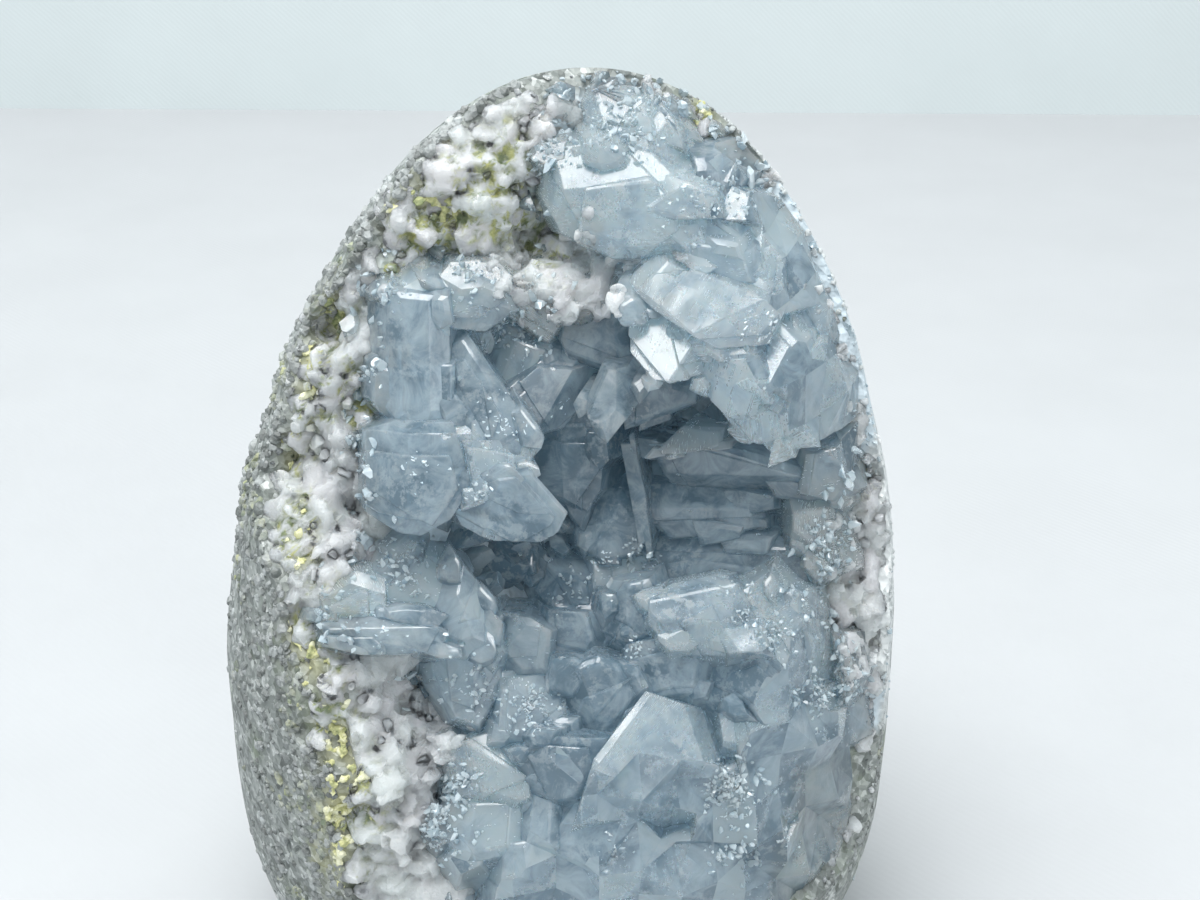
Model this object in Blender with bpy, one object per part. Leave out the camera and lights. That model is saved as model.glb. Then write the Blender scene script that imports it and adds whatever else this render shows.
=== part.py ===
"""Celestite geode ground to a free-standing egg, its open front lined with crystals.

Sizes are millimetres and become metres when a mesh is written. +Z is up, the open
front looks along -Y, and the origin is the middle of the flat base.

The open front is laid out in a face frame: u to the right, v up the front and w out
of it. Its plane leans back by FACE_PITCH. A crystal's outline is given as it is seen
on that plane from VIEW_REACH in front of it.
"""

import math
import random
from collections import namedtuple

import bmesh
import bpy
from mathutils import Matrix, Vector, noise
from mathutils.geometry import convex_hull_2d

MM = 0.001

EGG_HEIGHT = 104.5
EGG_HALF_WIDTH = 37.1
EGG_WIDEST_Z = 41.0
EGG_DEPTH_SHARE = 0.84
EGG_UPPER_POWER = 1.56
EGG_UPPER_ROOT = 2.16
EGG_LOWER_REACH = 48.0
EGG_LOWER_POWER = 4.0
EGG_APEX_SHIFT = 3.3
EGG_RINGS = 28
EGG_SEGMENTS = 44
EGG_SWELLS = ((-1, 61.5, 0.9, 5.0), (-1, 77.0, -0.9, 5.5), (1, 80.0, 0.4, 8.0), (1, 60.0, -0.3, 7.0))

FACE_ORIGIN = Vector((4.5, -10.0, 68.0))
FACE_PITCH = math.radians(25.0)
VIEW_REACH = 204.0

WALL_U_START = -38.0
WALL_U_STEP = 9.0
WALL_V_START = -66.0
WALL_V_STEP = 10.0
WALL_DEPTHS = (
    (3.0, 3.0, 3.0, 3.0, 3.0, 3.0, 3.0, 3.0, 3.0),
    (-5.0, -5.0, -4.0, -3.0, -2.5, -3.0, -5.0, -9.0, -14.0),
    (-5.0, -5.3, -6.0, -7.0, -8.0, -9.0, -11.0, -14.0, -20.0),
    (-0.5, -1.2, -3.5, -6.5, -8.5, -9.5, -10.5, -12.5, -18.0),
    (1.0, 0.8, -2.0, -6.0, -9.0, -10.0, -10.0, -10.5, -14.0),
    (1.5, 1.5, -1.5, -6.5, -10.5, -11.5, -11.0, -9.5, -11.0),
    (-2.0, -0.5, -2.0, -6.0, -10.5, -12.0, -11.0, -8.0, -8.0),
    (-1.0, 0.0, -1.0, -4.5, -8.0, -9.0, -7.5, -4.5, -5.0),
    (4.0, 3.3, 2.0, -0.5, -2.5, -2.5, -2.0, -2.5, -4.0),
    (7.0, 6.0, 5.3, 3.0, 1.0, 0.0, 0.5, 0.0, -2.0),
    (12.0, 11.0, 9.0, 6.3, 3.5, 3.0, 2.5, 2.0, 2.0),
    (9.0, 8.0, 6.0, 3.0, 1.0, 0.0, 0.0, 0.0, 0.0),
)
WALL_SPOTS = (
    (-28.0, 13.0, 2.8, -4.5), (-16.5, 19.6, 2.4, -2.6), (-6.8, 21.4, 2.2, -3.0), (-7.0, 18.2, 1.8, -2.0),
    (-12.0, 27.6, 3.6, 1.8), (-5.5, 33.0, 4.2, 1.3), (-15.5, 24.2, 3.0, 1.0), (-31.2, -0.8, 2.4, -2.2),
    (-25.2, -5.8, 2.2, -3.0), (-22.6, -10.6, 2.4, -3.0), (-30.4, -17.0, 2.8, -2.0), (-19.6, -24.4, 3.2, -2.4),
    (-31.0, -28.5, 2.0, -1.6), (-20.5, -31.5, 4.4, 1.6), (-27.0, -24.0, 2.6, 1.2), (-23.0, -38.0, 4.0, 1.4),
    (-28.0, 4.0, 3.4, 1.2), (-26.5, -37.5, 2.2, -2.0), (27.6, -2.6, 1.8, -3.2), (27.0, -15.0, 3.2, 1.2),
    (-9.0, -12.5, 3.4, -2.0),
)
WALL_LUMP = 1.5
WALL_LUMP_SPAN = 5.5
WALL_CELL = 2.7
WALL_GRAIN_SIDE = 0.6
WALL_GRAIN_OUT = 0.9
WALL_REACH_U = (-44.0, 42.0)
WALL_REACH_V = (-66.0, 46.0)

CRUST_GAP = 0.45
CRUST_LINER = 1.6
CRUST_ZONE = (
    (-23.0, 18.5), (-24.5, 1.0), (-24.5, -9.0), (-29.0, -16.0), (-24.0, -21.0), (-17.0, -27.0),
    (-17.0, -52.0), (4.0, -54.0), (24.0, -50.0), (30.0, -38.0), (31.0, -27.0), (24.0, -20.0),
    (24.0, -6.0), (29.0, 2.0), (28.5, 8.0), (25.0, 18.0), (18.0, 28.0), (9.0, 36.0),
    (1.0, 41.0), (-6.0, 33.0), (-8.0, 24.0), (-1.0, 19.0), (-3.0, 15.0), (-9.0, 18.0), (-17.0, 21.0),
)
BODY_DEPTH = 22.0
BODY_FLARE = 0.30
CROWN_DROP = 0.75
CROWN_SHARE = 0.62
STOCK_SIZE = 90.0
FACE_FRONT = 45.0
SKIN_INSET = 0.15

FILLER_SEED = 41
FILLER_COUNT = 40
FILLER_LENGTH = (5.0, 9.5)
FILLER_WIDTH = (2.2, 4.2)
PRISM_ANGLE = math.radians(52.0)
DOME_ANGLE = math.radians(38.0)

ZONE_STEP = 2.6
ZONE_SWAY = 0.9

Crystal = namedtuple("Crystal", "name out lean foot crown outline facets flare",
                     defaults=((), BODY_FLARE))

CRYSTALS = (
    Crystal("top_block_left", 6.5, (0.0, -0.35), (0, 1), 1.0,
            ((-1.5, 35.5), (0.2, 38.8), (3.0, 38.2), (4.7, 35.3), (2.9, 32.6), (-0.6, 31.8)),
            ((60, 0.5, 30),)),
    Crystal("top_prism", 8.0, (-0.2, -0.1), (1, 3), 0.8,
            ((1.5, 33.0), (4.7, 35.2), (7.0, 33.2), (9.3, 30.8), (9.7, 26.5), (5.2, 27.5), (1.6, 29.5)),
            ((170, 0.8, 28), (20, 1.2, 30))),
    Crystal("top_block_right", 5.0, (-0.3, -0.2), (2, 2), 0.7,
            ((4.5, 38.0), (7.5, 36.0), (10.5, 31.5), (7.5, 32.0), (4.5, 34.5))),
    Crystal("top_bead_left", 7.8, (0.1, -0.3), (-1, 2), 0.7,
            ((-7.4, 30.2), (-6.2, 31.8), (-3.4, 32.0), (-3.6, 29.6), (-5.7, 29.0))),
    Crystal("top_bead_right", 8.0, (-0.1, -0.2), (0, 2), 0.6,
            ((-3.0, 31.5), (0.6, 32.2), (0.9, 29.6), (-2.6, 29.2))),
    Crystal("upper_slab", 9.6, (0.05, 0.10), (1, 8), 1.3,
            ((-5.2, 25.0), (-4.6, 29.6), (0.0, 30.3), (5.0, 29.2), (10.0, 25.6), (10.4, 21.5), (8.4, 20.0),
             (1.5, 19.6), (-3.8, 22.2)),
            ((95, 2.2, 24), (215, 4.2, 18))),
    Crystal("upper_slab_end", 9.0, (-0.25, -0.2), (4, 8), 0.7,
            ((7.5, 26.8), (10.5, 26.4), (14.5, 23.4), (15.4, 19.6), (12.0, 20.6), (8.5, 23.0))),
    Crystal("grey_cube", 8.2, (-0.15, 0.15), (3, 5), 0.8,
            ((9.7, 29.4), (13.4, 29.8), (14.2, 28.0), (12.7, 23.7), (10.0, 24.5)),
            ((10, 0.9, 32),)),
    Crystal("mirror_chip", 8.8, (0.1, -0.55), (3, 4), 0.2,
            ((12.6, 23.4), (12.9, 27.8), (14.7, 26.4), (16.6, 25.4), (15.2, 23.4))),
    Crystal("upper_flat", 9.2, (0.0, 0.25), (4, 7), 0.7,
            ((9.2, 21.0), (12.5, 20.6), (15.2, 19.8), (16.2, 17.0), (12.0, 17.3), (9.2, 19.0))),
    Crystal("upper_plate", 10.8, (-0.10, -0.35), (6, 8), 0.9,
            ((2.6, 16.6), (5.0, 19.3), (9.7, 19.9), (15.0, 17.6), (18.2, 14.0), (16.4, 10.2), (11.6, 10.0),
             (5.2, 14.2)),
            ((300, 2.6, 20), (60, 3.5, 16)), 0.1),
    Crystal("hexagon", 12.0, (-0.15, -0.15), (7, 9), 1.7,
            ((1.8, 15.4), (5.2, 14.9), (9.4, 12.6), (10.8, 9.4), (9.7, 6.8), (5.0, 6.6), (2.2, 8.9)),
            ((250, 3.0, 30), (170, 3.0, 26)), 0.05),
    Crystal("mass_left", 10.2, (0.0, 0.20), (7, 8), 0.9,
            ((9.6, 6.2), (10.4, 10.2), (15.0, 10.6), (17.0, 7.4), (15.6, 2.9), (13.0, 3.2)),
            ((200, 0.5, 22),), 0.1),
    Crystal("mass_mirror", 10.4, (-0.20, -0.30), (8, 8), 0.5,
            ((15.9, 7.0), (17.5, 12.2), (20.4, 10.4), (20.6, 5.2), (18.2, 4.0)),
            (), 0.1),
    Crystal("mass_lip_left", 8.6, (-0.15, 0.45), (6, 10), 1.1,
            ((11.2, 4.6), (15.6, 7.0), (20.5, 5.8), (21.4, 0.4), (18.6, -0.5), (14.2, 1.0)),
            ((90, 0.5, 35),), 0.0),
    Crystal("mass_lip_right", 5.4, (-0.55, 0.20), (4, 10), 1.0,
            ((19.2, 7.5), (22.0, 10.4), (25.4, 7.2), (27.6, 4.6), (27.5, 1.6), (24.0, 0.0), (18.6, -0.4)),
            ((60, 1.5, 25),), 0.0),
    Crystal("right_upper_a", 6.6, (-0.50, -0.20), (4, 5), 0.8,
            ((16.0, 23.0), (19.8, 24.0), (23.0, 18.2), (21.6, 15.0), (18.2, 13.8), (15.6, 17.6)),
            ((10, 1.0, 25),)),
    Crystal("right_upper_b", 3.4, (-0.70, -0.25), (3, 4), 0.8,
            ((20.2, 19.4), (23.4, 17.3), (25.6, 13.0), (26.4, 8.4), (22.4, 9.4), (19.6, 14.0))),
    Crystal("right_upper_c", 4.8, (-0.70, 0.1), (3, 5), 0.6,
            ((19.6, 13.8), (23.2, 10.0), (25.8, 7.4), (22.2, 5.8), (19.6, 9.8))),
    Crystal("left_column", 7.2, (0.10, 0.10), (-3, 6), 1.0,
            ((-22.2, 15.0), (-20.8, 16.0), (-15.6, 15.4), (-15.5, 5.0), (-16.7, 1.5), (-19.8, 1.8), (-22.4, 5.4)),
            ((180, 1.2, 30), (0, 1.6, 28))),
    Crystal("left_column_top", 6.8, (0.15, -0.30), (-3, 6), 0.9,
            ((-22.2, 16.0), (-20.8, 19.0), (-18.0, 18.7), (-16.4, 15.4), (-19.4, 13.6), (-22.0, 14.6)),
            ((120, 0.5, 30),)),
    Crystal("left_block", 7.0, (0.0, 0.05), (-1, 7), 0.9,
            ((-17.8, 17.0), (-13.5, 17.6), (-10.2, 16.4), (-9.2, 13.9), (-11.7, 12.2), (-15.0, 12.4), (-17.3, 14.4)),
            ((160, 1.0, 25),)),
    Crystal("left_block_top", 6.0, (0.0, -0.45), (-1, 5), 0.6,
            ((-17.2, 16.6), (-15.3, 19.2), (-11.2, 19.6), (-9.2, 17.2), (-10.0, 15.4), (-13.5, 16.4))),
    Crystal("white_wedge_left", 4.4, (0.05, 0.15), (-1, 6), 0.5,
            ((-10.0, 17.4), (-5.0, 17.8), (-2.6, 14.6), (-5.3, 11.0), (-7.2, 13.0), (-9.8, 14.0))),
    Crystal("white_wedge_right", 4.6, (-0.05, 0.10), (1, 6), 0.5,
            ((-5.2, 17.6), (1.8, 17.2), (2.2, 14.4), (-2.0, 12.8), (-4.6, 13.6))),
    Crystal("under_wedge", 3.0, (0.15, 0.15), (2, 6), 0.7,
            ((-3.6, 13.4), (2.2, 14.4), (2.6, 9.6), (0.0, 8.2), (-3.2, 9.4), (-4.0, 11.2))),
    Crystal("pocket_chip", 1.8, (0.30, 0.25), (-3, 3), 0.6,
            ((-9.2, 11.4), (-5.6, 10.0), (-6.8, 7.0), (-8.9, 5.4), (-11.0, 7.0))),
    Crystal("left_blade", 7.6, (0.20, -0.10), (-6, 5), 0.6,
            ((-16.3, 9.6), (-13.4, 11.6), (-10.6, 7.2), (-8.6, 4.6), (-7.0, 2.0), (-8.0, -0.6), (-13.0, -0.2),
             (-15.4, 4.6)),
            ((20, 1.0, 30),), 0.15),
    Crystal("dark_ridge", 2.6, (-0.25, 0.10), (3, 6), 0.8,
            ((-9.8, 5.4), (-5.2, 9.4), (-1.6, 9.2), (-1.0, 4.6), (-3.0, 2.6), (-7.4, 1.6)),
            ((330, 0.3, 40),)),
    Crystal("deep_block", -1.6, (0.20, 0.30), (2, 5), 0.8,
            ((-7.6, 1.8), (-5.2, 3.4), (-1.2, 3.4), (0.2, 0.4), (-0.1, -4.2), (-2.0, -7.0), (-4.8, -5.2),
             (-6.8, -2.2)),
            ((180, 0.5, 25),)),
    Crystal("hanging_point", 7.4, (0.10, -0.20), (5, 8), 1.0,
            ((-1.8, 4.6), (-0.2, 8.3), (2.6, 8.2), (4.8, 6.4), (3.6, 4.2), (0.5, 0.3), (-0.4, 0.9)),
            ((0, 0.3, 40),), 0.0),
    Crystal("hanging_side", 4.4, (0.0, 0.45), (4, 7), 0.6,
            ((2.6, 6.6), (5.2, 7.2), (9.8, 6.2), (9.6, 4.4), (5.4, 2.8), (2.4, 1.8)),
            (), 0.1),
    Crystal("under_lip_chip", 2.2, (0.0, -0.50), (5, 4), 0.3,
            ((5.2, -0.6), (8.4, 2.4), (12.7, 2.2), (12.4, 0.3), (7.6, -0.6)),
            (), 0.0),
    Crystal("dark_bar", -0.6, (0.05, 0.50), (5, 3), 0.6,
            ((4.8, 0.4), (10.2, 0.8), (16.2, -0.8), (20.6, -2.2), (21.0, -4.6), (16.1, -5.0), (11.6, -4.8),
             (7.0, -3.6)),
            ((270, 0.2, 40),), 0.1),
    Crystal("dark_bar_low", -2.8, (0.0, 0.30), (4, 2), 0.6,
            ((5.0, -4.2), (9.3, -4.0), (16.0, -5.2), (16.4, -7.8), (12.0, -8.8), (7.0, -9.0), (4.8, -7.0)),
            ((90, 0.5, 25),), 0.2),
    Crystal("dark_hood", -3.8, (0.0, 0.25), (3, 1), 1.0,
            ((5.4, -9.8), (9.7, -9.0), (15.2, -9.0), (20.9, -9.8), (21.0, -14.8), (17.9, -14.6), (6.6, -15.0)),
            ((90, 1.2, 35),), 0.2),
    Crystal("pale_lump", -1.8, (-0.25, 0.0), (3, 1), 1.3,
            ((19.6, -5.2), (22.9, -4.8), (25.0, -7.6), (25.0, -11.0), (22.0, -12.0), (19.6, -10.0))),
    Crystal("pale_lump_top", -0.6, (-0.20, 0.3), (3, 3), 0.8,
            ((21.0, -0.6), (26.5, 0.8), (27.2, -3.0), (24.5, -5.4), (20.5, -4.4))),
    Crystal("centre_blade", 0.2, (0.30, 0.10), (3, 5), 0.2,
            ((2.1, 0.6), (3.5, 0.6), (4.7, -4.8), (4.9, -9.4), (4.0, -9.9), (3.2, -4.4)),
            (), 0.0),
    Crystal("centre_low", -2.8, (0.10, -0.15), (1, 2), 0.8,
            ((-2.0, -5.6), (2.0, -4.4), (4.0, -6.2), (4.4, -10.4), (0.2, -11.2), (-2.0, -9.8)),
            ((150, 0.4, 30),)),
    Crystal("centre_foot", -3.6, (-0.10, -0.40), (0, 0), 0.6,
            ((-0.8, -10.0), (3.4, -9.6), (5.4, -12.2), (3.0, -14.6), (-0.4, -14.0))),
    Crystal("left_cube", 8.8, (0.05, 0.00), (-6, 4), 1.2,
            ((-23.5, 1.4), (-20.5, 2.7), (-14.8, 2.7), (-12.8, -4.0), (-15.0, -7.4), (-18.0, -9.1), (-20.0, -9.0),
             (-23.3, -7.2)),
            ((180, 1.0, 32), (290, 3.0, 22)), 0.0),
    Crystal("left_plate_upper", 8.6, (0.10, -0.15), (-6, 5), 0.6,
            ((-15.4, 2.4), (-11.7, 2.5), (-8.9, 2.0), (-7.2, 0.6), (-6.5, -2.4), (-9.4, -4.4), (-13.8, -6.2)),
            ((0, 1.0, 20),), 0.1),
    Crystal("left_plate_lower", 8.9, (0.05, 0.22), (-7, 6), 0.8,
            ((-14.8, -5.8), (-9.8, -2.6), (-7.0, -2.0), (-5.1, -4.3), (-3.0, -6.6), (-4.0, -8.6), (-5.8, -9.6),
             (-11.0, -9.5), (-13.8, -8.2)),
            ((160, 2.5, 25),), 0.0),
    Crystal("pointed_crystal", 4.6, (0.30, -0.10), (-2, -5), 1.2,
            ((-15.4, -11.4), (-14.2, -11.4), (-11.0, -15.0), (-11.0, -18.4), (-11.7, -20.0), (-14.4, -21.0),
             (-17.2, -19.8), (-17.4, -16.0)),
            ((25, 0.2, 42), (120, 2.0, 25)), 0.15),
    Crystal("side_bar", 5.0, (0.15, -0.20), (-6, 0), 0.7,
            ((-28.8, -16.8), (-23.5, -16.2), (-18.9, -16.8), (-15.3, -18.6), (-16.2, -20.4), (-21.2, -20.8),
             (-25.3, -20.1), (-28.2, -18.8)),
            ((90, 0.4, 35),), 0.15),
    Crystal("side_block", 2.8, (0.20, 0.0), (-5, 2), 0.9,
            ((-22.8, -13.0), (-19.4, -10.6), (-16.0, -12.0), (-16.2, -15.0), (-17.8, -17.4), (-22.0, -16.8)),
            ((45, 0.8, 30),)),
    Crystal("side_pale", 3.4, (0.10, -0.15), (-5, 1), 0.8,
            ((-28.4, -14.6), (-24.8, -12.8), (-22.0, -13.6), (-21.8, -17.0), (-28.0, -17.2))),
    Crystal("below_point", 2.8, (0.15, 0.05), (-3, -2), 0.9,
            ((-16.6, -20.0), (-11.0, -19.8), (-10.3, -24.0), (-12.4, -28.0), (-14.6, -27.2), (-16.2, -23.8)),
            ((0, 0.6, 32),)),
    Crystal("low_prism", 2.4, (0.25, 0.0), (1, -4), 0.7,
            ((0.6, -15.6), (1.8, -13.8), (4.9, -13.2), (5.6, -15.0), (5.8, -18.4), (2.5, -19.2), (0.8, -17.8)),
            ((180, 0.4, 35),)),
    Crystal("low_bright", 6.2, (-0.05, -0.30), (2, -4), 1.3,
            ((5.0, -15.2), (7.5, -13.8), (12.0, -12.9), (14.0, -13.8), (15.4, -16.8), (15.2, -19.4), (12.6, -20.2),
             (7.5, -20.0), (5.0, -17.4)),
            ((270, 0.8, 38),), 0.2),
    Crystal("low_rough", 3.4, (-0.25, -0.10), (4, -2), 0.8,
            ((14.4, -14.6), (17.5, -12.9), (20.0, -15.4), (20.6, -20.6), (19.5, -25.0), (16.4, -22.4), (14.6, -19.2)),
            ((45, 0.8, 25),)),
    Crystal("low_mid", 3.6, (0.0, 0.15), (1, -5), 0.8,
            ((3.4, -20.0), (6.2, -19.0), (11.0, -19.8), (10.2, -24.6), (5.6, -25.0), (3.2, -22.4)),
            ((200, 0.8, 30),)),
    Crystal("low_dark_prism", 4.2, (0.20, 0.10), (3, -5), 0.8,
            ((11.2, -20.6), (15.2, -18.8), (18.2, -22.2), (19.0, -26.2), (15.7, -27.4), (13.2, -26.6), (10.4, -24.4)),
            ((150, 0.2, 38), (350, 2.0, 30))),
    Crystal("low_dark_block", 4.0, (0.10, 0.20), (0, -5), 0.9,
            ((-3.4, -22.4), (-0.3, -21.0), (3.7, -22.2), (5.2, -25.2), (0.6, -30.4), (-5.0, -29.6), (-4.2, -25.8)),
            ((200, 0.5, 35),)),
    Crystal("dark_hexagon", 6.0, (0.10, 0.30), (0, -5), 0.9,
            ((-8.2, -30.9), (-5.9, -29.1), (0.1, -29.4), (0.4, -30.9), (-1.4, -35.2), (-4.4, -36.0), (-6.8, -34.7)),
            ((180, 1.6, 28), (0, 1.8, 28))),
    Crystal("bright_plate", 5.6, (-0.25, -0.25), (2, -6), 0.8,
            ((4.7, -24.8), (9.8, -26.6), (11.4, -31.3), (10.8, -34.2), (4.7, -35.8), (-1.9, -36.3), (-0.6, -31.3)),
            ((265, 2.6, 35),), 0.2),
    Crystal("front_left", 3.6, (0.05, -0.10), (0, -5), 1.0,
            ((-2.4, -36.2), (2.9, -35.8), (5.5, -40.0), (5.0, -43.6), (1.5, -46.5), (-4.6, -46.5), (-5.1, -40.2)),
            ((200, 1.5, 25),)),
    Crystal("front_right", 0.2, (-0.25, -0.05), (2, -4), 1.1,
            ((5.2, -40.0), (10.7, -38.2), (16.1, -38.3), (18.2, -41.0), (17.0, -46.0), (5.4, -46.5)),
            ((90, 1.0, 25),)),
    Crystal("white_rough", 1.2, (-0.20, -0.35), (2, -4), 0.5,
            ((10.0, -34.4), (14.3, -31.8), (17.0, -33.0), (16.4, -36.3), (12.9, -37.8), (10.0, -38.6))),
    Crystal("broad_face", 1.8, (-0.40, -0.05), (4, -4), 0.8,
            ((13.6, -27.6), (16.6, -26.0), (21.8, -25.6), (21.8, -29.8), (17.6, -34.2), (14.8, -33.4)),
            ((300, 1.2, 22),)),
    Crystal("clear_mirror", -4.0, (-0.60, -0.10), (4, -3), 0.7,
            ((21.6, -28.6), (24.1, -29.0), (25.4, -32.7), (23.6, -37.6), (21.4, -38.2), (20.2, -33.8)),
            ((20, 0.2, 40),)),
    Crystal("edge_face", -7.6, (-0.90, -0.10), (3, -2), 0.7,
            ((24.6, -27.4), (28.6, -26.8), (30.0, -28.6), (28.6, -34.0), (24.8, -37.8), (24.0, -33.6))),
    Crystal("edge_bright", -4.4, (-0.55, -0.45), (3, -4), 0.5,
            ((16.4, -38.0), (22.0, -37.4), (22.9, -39.2), (18.4, -43.0), (16.6, -41.2))),
    Crystal("mid_spark", 3.2, (0.0, -0.20), (-1, -4), 0.7,
            ((-10.0, -23.6), (-5.0, -23.4), (-4.0, -26.8), (-6.4, -29.6), (-10.2, -29.0)),
            ((60, 0.4, 30),)),
    Crystal("mid_pale", 1.4, (0.15, 0.10), (-2, -4), 0.8,
            ((-11.4, -16.6), (-7.1, -17.2), (-5.0, -18.4), (-5.4, -22.6), (-8.9, -22.8), (-11.2, -20.2)),
            ((140, 0.6, 28),)),
    Crystal("mid_deep", -0.6, (0.05, -0.10), (0, -4), 0.8,
            ((-5.2, -16.4), (-0.5, -16.6), (0.2, -19.2), (-2.0, -22.0), (-5.2, -21.4))),
    Crystal("mid_back", -3.0, (0.10, -0.30), (-1, 0), 0.8,
            ((-4.8, -11.6), (-0.5, -12.6), (0.0, -16.4), (-4.6, -16.6), (-5.8, -14.4))),
    Crystal("low_left_a", 2.6, (0.10, -0.10), (-2, -5), 0.9,
            ((-15.5, -30.2), (-10.7, -29.0), (-7.6, -31.0), (-7.2, -35.2), (-9.8, -36.3), (-13.7, -35.5)),
            ((60, 1.0, 25),)),
    Crystal("low_left_b", 1.8, (0.10, -0.15), (-2, -5), 0.9,
            ((-14.7, -35.6), (-8.0, -35.4), (-8.4, -40.6), (-13.5, -41.8), (-15.8, -38.6)),
            ((170, 1.0, 25),)),
    Crystal("low_left_c", 2.2, (0.0, 0.05), (-1, -5), 0.9,
            ((-9.6, -40.2), (-4.6, -39.6), (-4.4, -45.0), (-10.0, -46.0))),
    Crystal("low_left_d", 2.6, (0.15, -0.1), (0, -4), 0.6,
            ((-7.4, -34.6), (-4.2, -35.4), (-4.4, -40.4), (-8.2, -40.8))),
    Crystal("edge_pale", -5.0, (-0.45, 0.0), (4, -1), 0.9,
            ((24.6, -20.0), (29.4, -21.0), (29.6, -25.4), (25.2, -25.0))),
)


def clear_scene():
    """Removes every object and collection the file starts with."""
    for item in list(bpy.data.objects):
        bpy.data.objects.remove(item, do_unlink=True)
    for group in list(bpy.data.collections):
        bpy.data.collections.remove(group)


def face_point(u, v, w):
    """World position in millimetres of a face-frame point."""
    sin_p = math.sin(FACE_PITCH)
    cos_p = math.cos(FACE_PITCH)
    return FACE_ORIGIN + Vector((u, v * sin_p - w * cos_p, v * cos_p + w * sin_p))


def spline(values, place):
    """Smooth value at a place along evenly spaced values."""
    last = len(values) - 1
    i = min(max(int(math.floor(place)), 0), last - 1)
    f = min(max(place - i, 0.0), 1.0)
    before = values[max(i - 1, 0)]
    start = values[i]
    end = values[i + 1]
    after = values[min(i + 2, last)]
    curve = 2.0 * before - 5.0 * start + 4.0 * end - after
    twist = 3.0 * (start - end) + after - before
    return start + 0.5 * f * (end - before + f * (curve + f * twist))


def wall_out(u, v):
    """How far out the hollow's wall stands at a face position."""
    across = (u - WALL_U_START) / WALL_U_STEP
    rows = [spline(row, across) for row in WALL_DEPTHS]
    out = spline(rows, (v - WALL_V_START) / WALL_V_STEP)
    for spot_u, spot_v, reach, amount in WALL_SPOTS:
        out += amount * math.exp(-((u - spot_u) ** 2 + (v - spot_v) ** 2) / (reach * reach))
    lump = noise.noise(Vector((u / WALL_LUMP_SPAN, v / WALL_LUMP_SPAN, 0.4)))
    return out + WALL_LUMP * lump


def egg_radius(z):
    """Half width of the egg at a height."""
    if z >= EGG_WIDEST_Z:
        share = min((z - EGG_WIDEST_Z) / (EGG_HEIGHT - EGG_WIDEST_Z), 1.0)
        return EGG_HALF_WIDTH * (1.0 - share ** EGG_UPPER_POWER) ** (1.0 / EGG_UPPER_ROOT)
    share = (EGG_WIDEST_Z - z) / EGG_LOWER_REACH
    return EGG_HALF_WIDTH * math.sqrt(1.0 - share ** EGG_LOWER_POWER)


def egg_shift(z):
    """How far the egg's middle stands to the right at a height."""
    rise = max(z - EGG_WIDEST_Z, 0.0)
    return EGG_APEX_SHIFT * rise / (EGG_HEIGHT - EGG_WIDEST_Z)


def ring_heights():
    """Heights of the egg's rings, closer together towards both ends."""
    turns = [math.pi * i / EGG_RINGS for i in range(EGG_RINGS + 1)]
    return [EGG_HEIGHT * 0.5 * (1.0 - math.cos(turn)) for turn in turns]


def egg_swell(side, z):
    """How far the egg's outline stands off its plain curve on one side at a height."""
    swell = 0.0
    for which, height, amount, reach in EGG_SWELLS:
        if which * side > 0.0:
            swell += amount * math.exp(-((z - height) / reach) ** 2)
    return swell * side * side


def egg_mesh(inset):
    """The ground egg, drawn in by an inset, spun from its profile."""
    bm = bmesh.new()
    profile = [bm.verts.new((0.0, 0.0, inset))]
    for z in ring_heights()[:-1]:
        height = max(z, inset)
        if height > inset or z == 0.0:
            profile.append(bm.verts.new((egg_radius(height) - inset, 0.0, height)))
    profile.append(bm.verts.new((0.0, 0.0, EGG_HEIGHT - inset)))
    edges = [bm.edges.new(pair) for pair in zip(profile, profile[1:])]
    bmesh.ops.spin(bm, geom=profile + edges, axis=(0, 0, 1), cent=(0, 0, 0),
                   angle=2.0 * math.pi, steps=EGG_SEGMENTS, use_merge=True)
    bmesh.ops.remove_doubles(bm, verts=bm.verts, dist=0.01)
    for vert in bm.verts:
        z = vert.co.z
        side = vert.co.x / EGG_HALF_WIDTH
        vert.co.x += egg_shift(z) + math.copysign(egg_swell(side, z), side)
        vert.co.y *= EGG_DEPTH_SHARE
    bmesh.ops.recalc_face_normals(bm, faces=bm.faces)
    return bm


def wall_block(lift, depth):
    """A block whose inner face is the hollow's wall moved out by a lift.

    A depth carries the block that far out from the wall; with none it runs past the
    front of the egg.
    """
    grain = random.Random(7)
    bm = bmesh.new()
    cells_u = round((WALL_REACH_U[1] - WALL_REACH_U[0]) / WALL_CELL)
    cells_v = round((WALL_REACH_V[1] - WALL_REACH_V[0]) / WALL_CELL)
    bmesh.ops.create_grid(bm, x_segments=cells_u, y_segments=cells_v, size=0.5)
    bmesh.ops.triangulate(bm, faces=bm.faces, quad_method="ALTERNATE")
    span_u = WALL_REACH_U[1] - WALL_REACH_U[0]
    span_v = WALL_REACH_V[1] - WALL_REACH_V[0]
    inner = {}
    for vert in bm.verts:
        u = WALL_REACH_U[0] + (vert.co.x + 0.5) * span_u
        v = WALL_REACH_V[0] + (vert.co.y + 0.5) * span_v
        u += grain.uniform(-WALL_GRAIN_SIDE, WALL_GRAIN_SIDE)
        v += grain.uniform(-WALL_GRAIN_SIDE, WALL_GRAIN_SIDE)
        w = wall_out(u, v) + lift + grain.uniform(-WALL_GRAIN_OUT, WALL_GRAIN_OUT)
        inner[vert] = (u, v, w)
        vert.co = (u, v, w)
    made = bmesh.ops.extrude_face_region(bm, geom=bm.faces[:])
    for vert in made["geom"]:
        if isinstance(vert, bmesh.types.BMVert):
            vert.co.z = vert.co.z + depth if depth else FACE_FRONT
    for vert in bm.verts:
        vert.co = face_point(*vert.co)
    bmesh.ops.recalc_face_normals(bm, faces=bm.faces)
    return bm


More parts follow.
